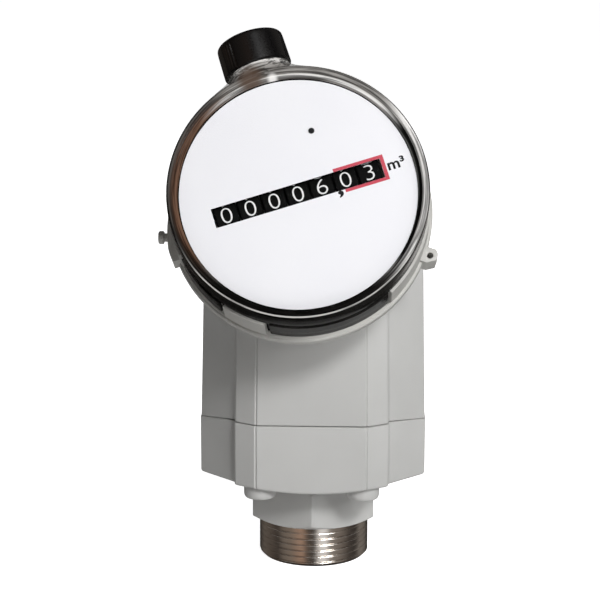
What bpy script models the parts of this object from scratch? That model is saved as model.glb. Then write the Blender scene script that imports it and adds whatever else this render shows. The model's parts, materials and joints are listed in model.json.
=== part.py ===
# Turbine gas meter, DN 25, threaded, with a tilted index head that turns on its neck.
# Metres, +Z up. Z is the flow axis, and the gas goes up through the meter.
# The origin is the centre of the lower thread's end face, and the index looks towards -Y.

import math

import bmesh
import bpy
from mathutils import Matrix, Vector

MM = 0.001

# Facets around a circle
LARGE_SEGMENTS = 28
ROUND_SEGMENTS = 18
FINE_SEGMENTS = 24
SMALL_SEGMENTS = 8
SEAL_SEGMENTS = 5
SECTOR_STEP = 7.5

# Clearances
GAP = 0.3 * MM
RUNNING_GAP = 0.8 * MM
BACKLASH_GAP = 0.2 * MM

# How far a cutting shape runs past a face, and how far a joined shape reaches into its carrier
OVERRUN = 1.0 * MM
LAP = 1.0 * MM

# Connections: G 1 1/4 thread, 46 mm spanner flats, DN 25 bore
THREAD_RADIUS = 41.91 / 2 * MM
THREAD_LENGTH = 15.8 * MM
THREAD_CHAMFER = 1.2 * MM
HEX_FLATS = 46.0 * MM
HEX_HEIGHT = 12.7 * MM
HEX_CHAMFER = 2.0 * MM
BORE_RADIUS = 13.0 * MM

# Cast body
BODY_HALF = 42.0 * MM
PANEL_HALF = 20.2 * MM
BLOCK_HALF = 28.3 * MM
BLOCK_CHAMFER = 5.0 * MM
BLOCK_STEP = 3.0 * MM
BODY_DRAFT = 1.5
COLLAR_RADIUS = 21.5 * MM
COLLAR_HEIGHT = 8.5 * MM
BASE_CHAMFER = 1.2 * MM
LOWER_HEIGHT = 24.0 * MM
UPPER_HEIGHT = 82.0 * MM

# Flow chamber
CHAMBER_RADIUS = 30.0 * MM
SHOULDER = 2.2 * MM
INLET_CONE = 15.5 * MM
OUTLET_CONE = 24.0 * MM
OUTLET_LAND = 5.7 * MM

# Seals
SEAL_CORD = 1.5 * MM
SEAL_RADIUS = CHAMBER_RADIUS + 2.8 * MM

# Body screws
SCREW_RADIUS = 2.3 * MM
SCREW_HEAD_RADIUS = 4.0 * MM
SCREW_HEAD_HEIGHT = 3.8 * MM
SOCKET_RADIUS = 2.1 * MM
SOCKET_DEPTH = 2.0 * MM
SCREW_GRIP = 12.0 * MM
SCREW_X = 19.0 * MM
SCREW_Y = 33.2 * MM
PILLOW_RADIUS = 6.0 * MM
PILLOW_HEIGHT = 5.0 * MM
PILLOW_FACE = 0.86
PILLOW_EDGE = 0.25

# Flow inserts
RING_WALL = 1.9 * MM
HUB_RADIUS = 14.0 * MM
VANE_COUNT = 6
VANE_THICKNESS = 1.2 * MM
STRUT_COUNT = 4
STRUT_THICKNESS = 2.0 * MM
STRAIGHTENER_LENGTH = 31.7 * MM
OUTLET_RING_LENGTH = 35.7 * MM
HUB_WALL = 1.8 * MM
NOSE_CURVE = ((0.0, -2.0), (0.45, -0.5), (0.8, 4.0), (0.96, 10.0), (1.0, 16.0))
TAIL_CURVE = ((1.0, 0.0), (0.8, 0.4), (0.4, 0.8), (0.0, 1.0))
NOSE_STEP = 3.7 * MM
SHAFT_TAIL = 3.0 * MM
PLATE_ROOT = 0.7
PLATE_LOW_INSET = 5.0 * MM
PLATE_HIGH_INSET = 3.0 * MM
PORT_START = 6.0 * MM
PORT_LENGTH = 20.0 * MM
TAIL_LENGTH = 18.0 * MM

# Turbine
BLADE_COUNT = 12
BLADE_THICKNESS = 1.0 * MM
BLADE_LENGTH = 9.0 * MM
BLADE_ROOT = 0.92
BLADE_ROOT_ANGLE = 30.0
BLADE_TIP_ANGLE = 43.0
ROTOR_LENGTH = 10.5 * MM
ROTOR_SHAFT_RADIUS = 1.5 * MM
BEARING_RADIUS = 4.6 * MM
BEARING_LENGTH = 3.9 * MM
BEARING_LIP = 1.0 * MM
WORM_RISE = 23.525 * MM
WORM_ROOM = 10.6 * MM

# Index head place: the seat is the neck's front face, and its axis meets the worm's middle
HEAD_TILT = 25.0
HEAD_OFFSET = -3.6 * MM
SEAT_REACH = 51.2 * MM
HEAD_TURN = 18.0

# Neck and pressure plate
NECK_RADIUS = 22.0 * MM
NECK_LENGTH = 33.4 * MM
NECK_BORE = 17.0 * MM
NECK_BORE_DEPTH = 9.0 * MM
GEAR_BORE = 15.5 * MM
GEAR_BORE_DEPTH = 20.3 * MM
DEEP_BORE = 14.4 * MM
PLATE_LENGTH = 3.7 * MM
PLATE_SKIN = 1.5 * MM
CLAMP_LENGTH = 2.5 * MM
CLAMP_WIDTH = 3.2 * MM
MAGNET_RADIUS = 9.0 * MM
MAGNET_LENGTH = 3.2 * MM
MAGNET_ROOM = 2.0 * MM
PIVOT_REACH = 0.6 * MM
ARBOR_RADIUS = 1.2 * MM

# Transmission
TRANSFER_OFFSET = 10.6 * MM
CARRIER_LENGTH = 3.4 * MM
TUBE_WALL = 1.9 * MM
TUBE_LENGTH = 25.0 * MM
GEAR_STANDOFF = 2.0 * MM
GEAR_LENGTH = 3.0 * MM
PINION_TEETH = 10
WHEEL_TEETH = 24
WORM_WHEEL_TEETH = 12
WORM_WHEEL_WIDTH = 4.0 * MM
SHAFT_END = 1.5 * MM
WORM_RADIUS = 2.0 * MM
WORM_ROOT = 0.62
WORM_SIDES = 6
WORM_TURNS = 3
ADDENDUM = 0.7
DEDENDUM = 1.15
TOOTH_ROOT = 0.29
TOOTH_TIP = 0.11

# Index cup and clear cover
CUP_RADIUS = 44.6 * MM
CUP_RIM_RADIUS = 45.6 * MM
CUP_RIM_HEIGHT = 4.9 * MM
CUP_RIM_CHAMFER = 1.0 * MM
CUP_WALL = 1.7 * MM
CUP_FLOOR_HEIGHT = 1.6 * MM
CUP_FLOOR = 2.4 * MM
CUP_HEIGHT = 21.0 * MM
CUP_COLLAR_WALL = 4.2 * MM
CUP_COLLAR_DEPTH = 8.0 * MM
SPIGOT_WALL = 2.2 * MM
CLIP_SECTION = 1.4 * MM
CLIP_DEPTH = 4.5 * MM
CLIP_BITE = 0.9 * MM
CLIP_PROUD = 0.8 * MM
CLIP_MOUTH = 6.0 * MM
COVER_RADIUS = 43.8 * MM
COVER_HEIGHT = 34.0 * MM
COVER_WALL = 1.8 * MM
COVER_RIM = 0.8 * MM
COVER_EDGE = 0.6 * MM
SHOULDER_FALL = 0.4 * MM
WINDOW_THICKNESS = 2.0 * MM
SKIRT_DEPTH = 12.5 * MM
NOTCHES = ((-172.0, -142.0), (-122.0, -63.0), (-14.0, 36.0), (62.0, 118.0))
NOTCH_FLOOR = 6.9 * MM
TAB_SIDE_ANGLE = 2.0
TAB_RISE = 2.0 * MM
TAB_DROP = 4.0 * MM

# Cover neck and its cap
CAP_ANGLE = 90.0
CAP_HEIGHT = 25.0 * MM
CAP_RADIUS = 11.75 * MM
CAP_LENGTH = 11.4 * MM
CAP_WALL = 1.9 * MM
CAP_STANDOFF = 3.1 * MM
CAP_EDGE = ((0.2, 1.6), (0.8, 0.5), (2.0, 0.0))
CAP_SEAL = 1.6 * MM
SPOUT_BORE = 7.5 * MM
NECK_LIP = 1.4 * MM
NECK_EDGE = 1.4 * MM
FLARE_HALF = 21.0 * MM
FLARE_INSET = 0.2 * MM
FLARE_CURVE = ((-7.0, 1.0, 0.0, 0.0), (-2.0, 0.9, 0.0, 0.0), (1.2, 0.7, 1.5, 0.8))

# Dial and counter
DIAL_RADIUS = 39.8 * MM
DIAL_THICKNESS = 0.6 * MM
DIAL_HEIGHT = 30.0 * MM
SLOT_LENGTH = 58.8 * MM
SLOT_WIDTH = 6.8 * MM
DIAL_RING_WALL = 1.2 * MM
LEDGE_WIDTH = 2.3 * MM
LEDGE_THICKNESS = 1.0 * MM
DIAL_DOT_RADIUS = 0.8 * MM
DIAL_DOT_X = 10.5 * MM
DIAL_DOT_Y = 19.8 * MM
WHEEL_COUNT = 7
WHEEL_PITCH = 8.3 * MM
WHEEL_RADIUS = 9.5 * MM
WHEEL_GAP = 0.6 * MM
COUNTER_HEIGHT = 19.0 * MM
FRAME_RADIUS = 38.0 * MM
FRAME_HEIGHT = 8.2 * MM
FRAME_SHEET = 0.8 * MM
CHEEK_X = 32.4 * MM
CHEEK_TOP = 27.4 * MM
CHEEK_LOW_MARGIN = 4.0 * MM
CHEEK_HIGH_MARGIN = 3.0 * MM
POST_RADIUS = 2.0 * MM
POST_PLACES = ((-31.0, 10.0), (31.0, 10.0), (-31.0, -12.0), (31.0, -9.0))
SIDE_GEAR_WIDTH = 2.4 * MM
SIDE_GEAR_LAP = 0.5 * MM
COUNTER_MODULE = 1.2 * MM
ARBOR_TEETH = 11
COUNTER_TEETH = 15
INDEX_WORM_X = 6.0 * MM
INDEX_WORM_RADIUS = 2.2 * MM
INDEX_WHEEL_TEETH = 8
INDEX_WHEEL_TIP = 3.0 * MM
INDEX_WHEEL_WIDTH = 3.0 * MM
FOLLOWER_TEETH = 10
INDEX_GEAR_TEETH = 24
CARRY_TEETH = 6
CARRY_TIP = 2.8 * MM
CARRY_WIDTH = 4.0 * MM
CARRY_Y = 10.5 * MM
CARRY_SHAFT_RADIUS = 0.7 * MM

# Sealing points on the cup
LUG_ANGLE = -36.8
LUG_SIZE = 5.4 * MM
LUG_HEIGHT = 6.2 * MM
LUG_REACH = 4.2 * MM
LUG_CORNER = 1.0 * MM
LUG_HOLE = 1.0 * MM
LUG_HOLE_REACH = 1.5 * MM
PIN_ANGLE = 173.2
PIN_RADIUS = 1.5 * MM
PIN_HEAD_RADIUS = 2.3 * MM
PIN_HEAD_LENGTH = 2.1 * MM
PIN_HEIGHT = 6.0 * MM
PIN_STANDOFF = 1.0 * MM
PIN_SEAT = 0.8 * MM
PIN_FACE = 0.9
PAD_PROUD = 2.6 * MM
PAD_RISE = 5.0 * MM
PAD_SPAN = 26.0

# Heights that follow from the sizes above
HEX_BASE = THREAD_LENGTH
COLLAR_BASE = HEX_BASE + HEX_HEIGHT
BODY_BASE = COLLAR_BASE + COLLAR_HEIGHT
SEAM = BODY_BASE + LOWER_HEIGHT
BODY_TOP = SEAM + UPPER_HEIGHT
TOTAL_LENGTH = BODY_TOP + COLLAR_HEIGHT + HEX_HEIGHT + THREAD_LENGTH
CHAMBER_BASE = COLLAR_BASE + INLET_CONE
RING_BASE = CHAMBER_BASE + GAP
STRAIGHTENER_TOP = RING_BASE + STRAIGHTENER_LENGTH
OUTLET_RING_BASE = STRAIGHTENER_TOP + GAP
OUTLET_RING_TOP = OUTLET_RING_BASE + OUTLET_RING_LENGTH
CHAMBER_TOP = OUTLET_RING_TOP + GAP
RING_OUTER = CHAMBER_RADIUS - GAP
RING_INNER = RING_OUTER - RING_WALL
NOSE_TOP = STRAIGHTENER_TOP + NOSE_STEP
ROTOR_BASE = NOSE_TOP + RUNNING_GAP
ROTOR_TOP = ROTOR_BASE + ROTOR_LENGTH
HUB_BASE = ROTOR_TOP + RUNNING_GAP
SHAFT_BORE = ROTOR_SHAFT_RADIUS + GAP
ARBOR_BORE = ARBOR_RADIUS + GAP
POCKET_RADIUS = BEARING_RADIUS + GAP
POCKET_DEPTH = BEARING_LENGTH + 2 * GAP
TILT = math.radians(HEAD_TILT)
WORM_HEIGHT = HUB_BASE + WORM_RISE
SEAT_HEIGHT = WORM_HEIGHT + SEAT_REACH * math.tan(TILT)
WORM_WHEEL_DEPTH = SEAT_REACH / math.cos(TILT)
TRANSFER_X = HEAD_OFFSET + TRANSFER_OFFSET
WORM_WHEEL_TIP = TRANSFER_X - WORM_RADIUS - BACKLASH_GAP
WORM_MODULE = 2 * WORM_WHEEL_TIP / (WORM_WHEEL_TEETH + 2 * ADDENDUM)
WORM_LENGTH = WORM_TURNS * math.pi * WORM_MODULE
HUB_TOP = WORM_HEIGHT + WORM_ROOM
CAVITY_TOP = HUB_TOP - HUB_WALL
SHAFT_BASE = NOSE_TOP - POCKET_DEPTH - SHAFT_TAIL
CLIP_INNER = NECK_RADIUS - CLIP_BITE
CLIP_OUTER = NECK_RADIUS + GAP + CLIP_PROUD
PLATE_BASE = -NECK_BORE_DEPTH + GAP
PLATE_TOP = PLATE_BASE + PLATE_LENGTH
PLATE_RECESS = MAGNET_RADIUS + MAGNET_ROOM
DRIVE_MAGNET_TOP = PLATE_TOP - PLATE_SKIN - GAP
FOLLOWER_MAGNET_BASE = PLATE_TOP + GAP
CARRIER_BASE = -GEAR_BORE_DEPTH + GAP
CARRIER_TOP = CARRIER_BASE + CARRIER_LENGTH
WHEEL_BASE = CARRIER_TOP + GEAR_STANDOFF
TUBE_RADIUS = ARBOR_BORE + TUBE_WALL
CUP_INNER = CUP_RADIUS - CUP_WALL
PAD_RADIUS = CUP_RADIUS + PAD_PROUD
CAP_REACH = COVER_RADIUS + CAP_STANDOFF
FLOOR_TOP = CUP_FLOOR_HEIGHT + CUP_FLOOR
SKIRT_OUTER = CUP_INNER - GAP
SKIRT_INNER = SKIRT_OUTER - COVER_WALL
SHOULDER_HEIGHT = CUP_HEIGHT + 2 * GAP
SKIRT_BASE = CUP_HEIGHT - SKIRT_DEPTH
COVER_INNER = COVER_RADIUS - COVER_WALL
WINDOW_TOP = COVER_HEIGHT - COVER_RIM
WINDOW_BASE = WINDOW_TOP - WINDOW_THICKNESS
SPOUT_RADIUS = CAP_RADIUS - CAP_WALL - GAP
ARBOR_Y = -(ARBOR_TEETH + COUNTER_TEETH) / 2 * COUNTER_MODULE
INDEX_WORM_Y = ARBOR_Y - INDEX_WHEEL_TIP - INDEX_WORM_RADIUS - BACKLASH_GAP
INDEX_CENTRES = math.hypot(INDEX_WORM_X, INDEX_WORM_Y)
INDEX_MODULE = 2 * INDEX_CENTRES / (FOLLOWER_TEETH + INDEX_GEAR_TEETH)
INDEX_WORM_MODULE = 2 * INDEX_WHEEL_TIP / (INDEX_WHEEL_TEETH + 2 * ADDENDUM)
TRANSFER_MODULE = 2 * TRANSFER_OFFSET / (PINION_TEETH + WHEEL_TEETH)
INDEX_GEAR_BASE = FLOOR_TOP + 2 * GAP
FRAME_TOP = FRAME_HEIGHT + FRAME_SHEET
CARRY_DROP = math.sqrt((WHEEL_RADIUS + CARRY_TIP + BACKLASH_GAP) ** 2 - CARRY_Y ** 2)
CARRY_HEIGHT = COUNTER_HEIGHT - CARRY_DROP
DIAL_RING_OUTER = COVER_INNER - GAP
DIAL_RING_INNER = DIAL_RING_OUTER - DIAL_RING_WALL
LEDGE_TOP = DIAL_HEIGHT - DIAL_THICKNESS - GAP


def clear_scene():
    for old in list(bpy.data.objects):
        bpy.data.objects.remove(old, do_unlink=True)


def make_material(name, colour, roughness, metallic=0.0, alpha=1.0):
    material = bpy.data.materials.new(name)
    material.use_nodes = True
    shader = material.node_tree.nodes["Principled BSDF"]
    shader.inputs["Base Color"].default_value = (*colour, 1.0)
    shader.inputs["Roughness"].default_value = roughness
    shader.inputs["Metallic"].default_value = metallic
    shader.inputs["Alpha"].default_value = alpha
    return material


def add_mesh(name, points, faces, material, frame=None):
    mesh = bpy.data.meshes.new(name)
    mesh.from_pydata([tuple(point) for point in points], [], faces)
    work = bmesh.new()
    work.from_mesh(mesh)
    bmesh.ops.recalc_face_normals(work, faces=work.faces)
    work.to_mesh(mesh)
    work.free()
    mesh.materials.append(material)
    piece = bpy.data.objects.new(name, mesh)
    bpy.context.collection.objects.link(piece)
    piece.parent = frame
    return piece


def shade(piece, angle=35.0):
    piece.data.shade_smooth()
    piece.data.set_sharp_from_angle(angle=math.radians(angle))
    return piece


def loft(name, loops, material, frame=None):
    count = len(loops[0])
    points = [point for loop in loops for point in loop]
    faces = []
    for row in range(len(loops) - 1):
        for column in range(count):
            beside = (column + 1) % count
            low = row * count
            high = low + count
            faces.append((low + column, low + beside, high + beside, high + column))
    faces.append(tuple(range(count)))
    faces.append(tuple(range(len(points) - count, len(points))))
    return add_mesh(name, points, faces, material, frame)


def turned(name, profile, material, frame=None, segments=ROUND_SEGMENTS):
    # The profile is a closed outline of (radius, height); points on the axis become poles
    points = []
    rows = []
    for radius, height in profile:
        if radius < 1e-9:
            rows.append([len(points)])
            points.append((0.0, 0.0, height))
            continue
        rows.append(list(range(len(points), len(points) + segments)))
        for step in range(segments):
            angle = 2 * math.pi * step / segments
            points.append((radius * math.cos(angle), radius * math.sin(angle), height))
    faces = []
    for index, row in enumerate(rows):
        after = rows[(index + 1) % len(rows)]
        if len(row) == 1 and len(after) == 1:
            continue
        for step in range(segments):
            beside = (step + 1) % segments
            corners = [row[step % len(row)], row[beside % len(row)]]
            corners += [after[beside % len(after)], after[step % len(after)]]
            faces.append(tuple(dict.fromkeys(corners)))
    return add_mesh(name, points, faces, material, frame)


def round_bar(name, radius, low, high, material, frame=None, segments=SMALL_SEGMENTS):
    profile = [(0.0, low), (radius, low), (radius, high), (0.0, high)]
    return turned(name, profile, material, frame, segments)


def tube(name, inner, outer, low, high, material, frame=None, segments=ROUND_SEGMENTS):
    profile = [(inner, low), (outer, low), (outer, high), (inner, high)]
    return turned(name, profile, material, frame, segments)


def torus(name, ring_radius, cord_radius, height, material, frame=None, sides=SEAL_SEGMENTS):
    profile = []
    for step in range(sides):
        angle = 2 * math.pi * step / sides
        radius = ring_radius + cord_radius * math.cos(angle)
        profile.append((radius, height + cord_radius * math.sin(angle)))
    return turned(name, profile, material, frame)


def box(name, low, high, material, frame=None):
    outline = [(low[0], low[1]), (high[0], low[1]), (high[0], high[1]), (low[0], high[1])]
    return prism(name, outline, low[2], high[2], material, frame)


def prism(name, outline, low, high, material, frame=None):
    loops = [[(x, y, height) for x, y in outline] for height in (low, high)]
    return loft(name, loops, material, frame)


def sector(name, inner, outer, start, end, low, high, material, frame=None):
    # A curved block between two angles, in degrees
    steps = max(2, round(abs(end - start) / SECTOR_STEP))
    angles = [math.radians(start + (end - start) * step / steps) for step in range(steps + 1)]
    outline = [(outer * math.cos(angle), outer * math.sin(angle)) for angle in angles]
    outline += [(inner * math.cos(angle), inner * math.sin(angle)) for angle in reversed(angles)]
    return prism(name, outline, low, high, material, frame)


def combine(target, tool, operation):
    modifier = target.modifiers.new(operation, "BOOLEAN")
    modifier.operation = operation
    modifier.solver = "MANIFOLD"
    modifier.object = tool
    bpy.context.view_layer.update()
    graph = bpy.context.evaluated_depsgraph_get()
    result = bpy.data.meshes.new_from_object(target.evaluated_get(graph))
    target.modifiers.clear()
    spare = target.data
    target.data = result
    bpy.data.meshes.remove(spare)
    bpy.data.objects.remove(tool, do_unlink=True)
    result.name = target.name
    return target


def cut(target, tool):
    return combine(target, tool, "DIFFERENCE")


def join(target, tool):
    return combine(target, tool, "UNION")


def move(piece, matrix):
    piece.data.transform(matrix)
    return piece


def radial(angle, height):
    # Turns a piece made along +Z so that it points outwards at an angle, at a height
    turn = Matrix.Rotation(math.radians(angle), 4, "Z") @ Matrix.Rotation(math.pi / 2, 4, "Y")
    return Matrix.Translation((0.0, 0.0, height)) @ turn


def along_x(y, z):
    return Matrix.Translation((0.0, y, z)) @ Matrix.Rotation(math.pi / 2, 4, "Y")


def polar(radius, angle):
    return (radius * math.cos(angle), radius * math.sin(angle))


def gear_outline(teeth, module, phase=0.0):
    # Straight-flanked teeth, thinned for backlash
    pitch_radius = teeth * module / 2
    root = pitch_radius - DEDENDUM * module
    tip = pitch_radius + ADDENDUM * module
    pitch = 2 * math.pi / teeth
    shape = ((-TOOTH_ROOT, root), (-TOOTH_TIP, tip), (TOOTH_TIP, tip), (TOOTH_ROOT, root))
    outline = []
    for tooth in range(teeth):
        centre = phase + tooth * pitch
        outline += [polar(radius, centre + share * pitch) for share, radius in shape]
    return outline


def gear(name, teeth, module, low, high, material, frame=None, phase=0.0):
    return prism(name, gear_outline(teeth, module, phase), low, high, material, frame)


def worm(name, tip, middle, module, material, frame=None):
    # One right-hand thread, made by twisting a round section that has a single lobe.
    # It moves on by one tooth of its wheel in each turn
    stations = WORM_SIDES * WORM_TURNS
    length = WORM_TURNS * math.pi * module
    root = tip * WORM_ROOT
    loops = []
    for station in range(stations + 1):
        height = middle + length * (station / stations - 0.5)
        twist = 2 * math.pi * WORM_TURNS * station / stations
        loop = []
        for side in range(WORM_SIDES):
            angle = 2 * math.pi * side / WORM_SIDES
            lobe = max(0.0, math.cos(angle)) ** 2
            loop.append((*polar(root + (tip - root) * lobe, angle + twist), height))
        loops.append(loop)
    return loft(name, loops, material, frame)


def body_section(height, inset):
    # Octagonal plan with a raised block at the front and at the back
    quarter = [
        (PANEL_HALF, -BODY_HALF),
        (BLOCK_HALF, -BODY_HALF + BLOCK_CHAMFER),
        (BLOCK_HALF, -BODY_HALF + BLOCK_CHAMFER + BLOCK_STEP),
        (BODY_HALF, -PANEL_HALF),
    ]
    right = quarter + [(x, -y) for x, y in reversed(quarter)]
    outline = right + [(-x, y) for x, y in reversed(right)]
    scale = 1 - inset / BODY_HALF
    return [(x * scale, y * scale, height) for x, y in outline]


def hexagon(flats):
    corner = flats / 2 / math.cos(math.pi / 6)
    return [polar(corner, math.radians(30 + 60 * side)) for side in range(6)]


def connection(name, material):
    # Thread, spanner hexagon and collar, from z = 0 upwards
    corner = HEX_FLATS / 2 / math.cos(math.pi / 6)
    chamfer_radius = HEX_FLATS / 2 + GAP
    piece = prism(name, hexagon(HEX_FLATS), HEX_BASE, COLLAR_BASE, material)
    limit = [
        (0.0, HEX_BASE),
        (chamfer_radius, HEX_BASE),
        (corner, HEX_BASE + HEX_CHAMFER),
        (corner, COLLAR_BASE - HEX_CHAMFER / 2),
        (corner - HEX_CHAMFER, COLLAR_BASE),
        (0.0, COLLAR_BASE),
    ]
    combine(piece, turned("limit", limit, material), "INTERSECT")
    stem = [
        (0.0, 0.0),
        (THREAD_RADIUS - THREAD_CHAMFER, 0.0),
        (THREAD_RADIUS, THREAD_CHAMFER),
        (THREAD_RADIUS, HEX_BASE + HEX_CHAMFER),
        (COLLAR_RADIUS, HEX_BASE + HEX_HEIGHT / 2),
        (COLLAR_RADIUS, BODY_BASE + BASE_CHAMFER),
        (0.0, BODY_BASE + BASE_CHAMFER),
    ]
    return join(piece, turned("stem", stem, material, None, FINE_SEGMENTS))


def screw_places():
    return [(x, y) for x in (-SCREW_X, SCREW_X) for y in (-SCREW_Y, SCREW_Y)]


def at(x, y):
    return Matrix.Translation((x, y, 0.0))


def add_axis(name, parent, location):
    axis = bpy.data.objects.new(name, None)
    bpy.context.collection.objects.link(axis)
    axis.parent = parent
    axis.location = location
    return axis


def make_inlet_housing(paint):
    piece = loft("inlet_housing", [
        body_section(BODY_BASE, BASE_CHAMFER),
        body_section(BODY_BASE + BASE_CHAMFER, 0.0),
        body_section(SEAM, 0.0),
    ], paint)
    join(piece, connection("connection", paint))
    low = BODY_BASE - PILLOW_HEIGHT
    pillow = [
        (0.0, low),
        (PILLOW_RADIUS * PILLOW_FACE, low),
        (PILLOW_RADIUS, low + PILLOW_HEIGHT * PILLOW_EDGE),
        (PILLOW_RADIUS, BODY_BASE + BASE_CHAMFER),
        (0.0, BODY_BASE + BASE_CHAMFER),
    ]
    for x, y in screw_places():
        join(piece, move(turned("pillow", pillow, paint, None, SMALL_SEGMENTS), at(x, y)))
    chamber = [
        (0.0, -GAP),
        (BORE_RADIUS, -GAP),
        (BORE_RADIUS, COLLAR_BASE - GAP),
        (CHAMBER_RADIUS - SHOULDER, CHAMBER_BASE),
        (CHAMBER_RADIUS, CHAMBER_BASE),
        (CHAMBER_RADIUS, SEAM + GAP),
        (0.0, SEAM + GAP),
    ]
    cut(piece, turned("chamber", chamber, paint))
    cut(piece, tube("seal_groove", *seal_groove(), SEAM - SEAL_CORD - GAP, SEAM + GAP, paint))
    for x, y in screw_places():
        hole = [
            (0.0, low - GAP),
            (SCREW_HEAD_RADIUS + GAP, low - GAP),
            (SCREW_HEAD_RADIUS + GAP, low + SCREW_HEAD_HEIGHT + 2 * GAP),
            (SCREW_RADIUS + GAP, low + SCREW_HEAD_HEIGHT + 2 * GAP),
            (SCREW_RADIUS + GAP, SEAM + GAP),
            (0.0, SEAM + GAP),
        ]
        cut(piece, move(turned("hole", hole, paint, None, SMALL_SEGMENTS), at(x, y)))
    return shade(piece)


def seal_groove():
    half = SEAL_CORD / 2 + GAP
    return (SEAL_RADIUS - half, SEAL_RADIUS + half)


def make_main_housing(paint, neck):
    draft = math.tan(math.radians(BODY_DRAFT))
    top_inset = UPPER_HEIGHT * draft
    piece = loft("main_housing", [
        body_section(SEAM + GAP, GAP),
        body_section(BODY_TOP - BASE_CHAMFER, top_inset),
        body_section(BODY_TOP, top_inset + BASE_CHAMFER),
    ], paint)
    join(piece, round_bar("neck", NECK_RADIUS, -NECK_LENGTH, 0.0, paint, neck, ROUND_SEGMENTS))
    outlet = connection("connection", paint)
    move(outlet, Matrix.Translation((0.0, 0.0, TOTAL_LENGTH)) @ Matrix.Rotation(math.pi, 4, "X"))
    join(piece, outlet)
    chamber = [
        (0.0, SEAM),
        (CHAMBER_RADIUS, SEAM),
        (CHAMBER_RADIUS, CHAMBER_TOP),
        (CHAMBER_RADIUS - SHOULDER, CHAMBER_TOP),
        (CHAMBER_RADIUS - SHOULDER, CHAMBER_TOP + OUTLET_LAND),
        (BORE_RADIUS, CHAMBER_TOP + OUTLET_LAND + OUTLET_CONE),
        (BORE_RADIUS, TOTAL_LENGTH + GAP),
        (0.0, TOTAL_LENGTH + GAP),
    ]
    cut(piece, turned("chamber", chamber, paint))
    bore = [
        (0.0, GAP),
        (NECK_BORE, GAP),
        (NECK_BORE, -NECK_BORE_DEPTH),
        (GEAR_BORE, -NECK_BORE_DEPTH),
        (GEAR_BORE, -GEAR_BORE_DEPTH),
        (DEEP_BORE, -GEAR_BORE_DEPTH),
        (DEEP_BORE, -NECK_LENGTH - OVERRUN),
        (0.0, -NECK_LENGTH - OVERRUN),
    ]
    cut(piece, turned("bore", bore, paint, neck))
    low = -CLIP_DEPTH - CLIP_SECTION - GAP
    groove = tube("groove", CLIP_INNER - GAP, NECK_RADIUS + OVERRUN, low, -CLIP_DEPTH + GAP, paint, neck)
    cut(piece, groove)
    for x, y in screw_places():
        hole = round_bar("hole", SCREW_RADIUS + GAP, SEAM, SEAM + SCREW_GRIP + OVERRUN, paint)
        cut(piece, move(hole, at(x, y)))
    return shade(piece)


def make_body_parts(steel, rubber):
    torus("housing_seal", SEAL_RADIUS, SEAL_CORD / 2, SEAM - SEAL_CORD / 2, rubber)
    low = BODY_BASE - PILLOW_HEIGHT + GAP
    shoulder = low + SCREW_HEAD_HEIGHT
    profile = [
        (0.0, low + SOCKET_DEPTH),
        (SOCKET_RADIUS, low + SOCKET_DEPTH),
        (SOCKET_RADIUS, low),
        (SCREW_HEAD_RADIUS, low),
        (SCREW_HEAD_RADIUS, shoulder),
        (SCREW_RADIUS, shoulder),
        (SCREW_RADIUS, SEAM + SCREW_GRIP),
        (0.0, SEAM + SCREW_GRIP),
    ]
    for number, (x, y) in enumerate(screw_places(), 1):
        screw = turned("housing_screw_%d" % number, profile, steel, None, SMALL_SEGMENTS)
        shade(move(screw, at(x, y)))


def radial_plates(piece, count, thickness, inner, outer, low, high, material):
    for index in range(count):
        plate = box("plate", (inner, -thickness / 2, low), (outer, thickness / 2, high), material)
        turn = Matrix.Rotation(2 * math.pi * (index + 0.5) / count, 4, "Z")
        join(piece, move(plate, turn))


def make_flow_straightener(plastic):
    nose = [(HUB_RADIUS * share, RING_BASE + height * MM) for share, height in NOSE_CURVE]
    nose += [
        (HUB_RADIUS, NOSE_TOP),
        (POCKET_RADIUS, NOSE_TOP),
        (POCKET_RADIUS, NOSE_TOP - POCKET_DEPTH),
        (SHAFT_BORE, NOSE_TOP - POCKET_DEPTH),
        (SHAFT_BORE, SHAFT_BASE - GAP),
        (0.0, SHAFT_BASE - GAP),
    ]
    piece = turned("flow_straightener", nose, plastic)
    join(piece, tube("ring", RING_INNER, RING_OUTER, RING_BASE, STRAIGHTENER_TOP, plastic))
    reach = RING_INNER + RING_WALL / 2
    radial_plates(piece, VANE_COUNT, VANE_THICKNESS, HUB_RADIUS * PLATE_ROOT, reach,
                  RING_BASE + PLATE_LOW_INSET, STRAIGHTENER_TOP - PLATE_HIGH_INSET, plastic)
    return shade(piece)


def make_outlet_body(plastic, neck):
    tail = [(0.0, HUB_BASE), (HUB_RADIUS, HUB_BASE)]
    tail += [(HUB_RADIUS * share, HUB_TOP + TAIL_LENGTH * rise) for share, rise in TAIL_CURVE]
    piece = turned("outlet_body", tail, plastic)
    join(piece, tube("ring", RING_INNER, RING_OUTER, OUTLET_RING_BASE, OUTLET_RING_TOP, plastic))
    reach = RING_INNER + RING_WALL / 2
    radial_plates(piece, STRUT_COUNT, STRUT_THICKNESS, HUB_RADIUS * PLATE_ROOT, reach,
                  HUB_BASE + PLATE_LOW_INSET, OUTLET_RING_TOP - PLATE_HIGH_INSET, plastic)
    cavity = round_bar("cavity", HUB_RADIUS - HUB_WALL, HUB_BASE - GAP, CAVITY_TOP, plastic, None,
                       ROUND_SEGMENTS)
    cut(piece, cavity)
    port_base = -WORM_WHEEL_DEPTH + PORT_START
    port = round_bar("port", TUBE_RADIUS + GAP, port_base, port_base + PORT_LENGTH, plastic, neck)
    cut(piece, move(port, at(TRANSFER_OFFSET, 0.0)))
    return shade(piece)


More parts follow.
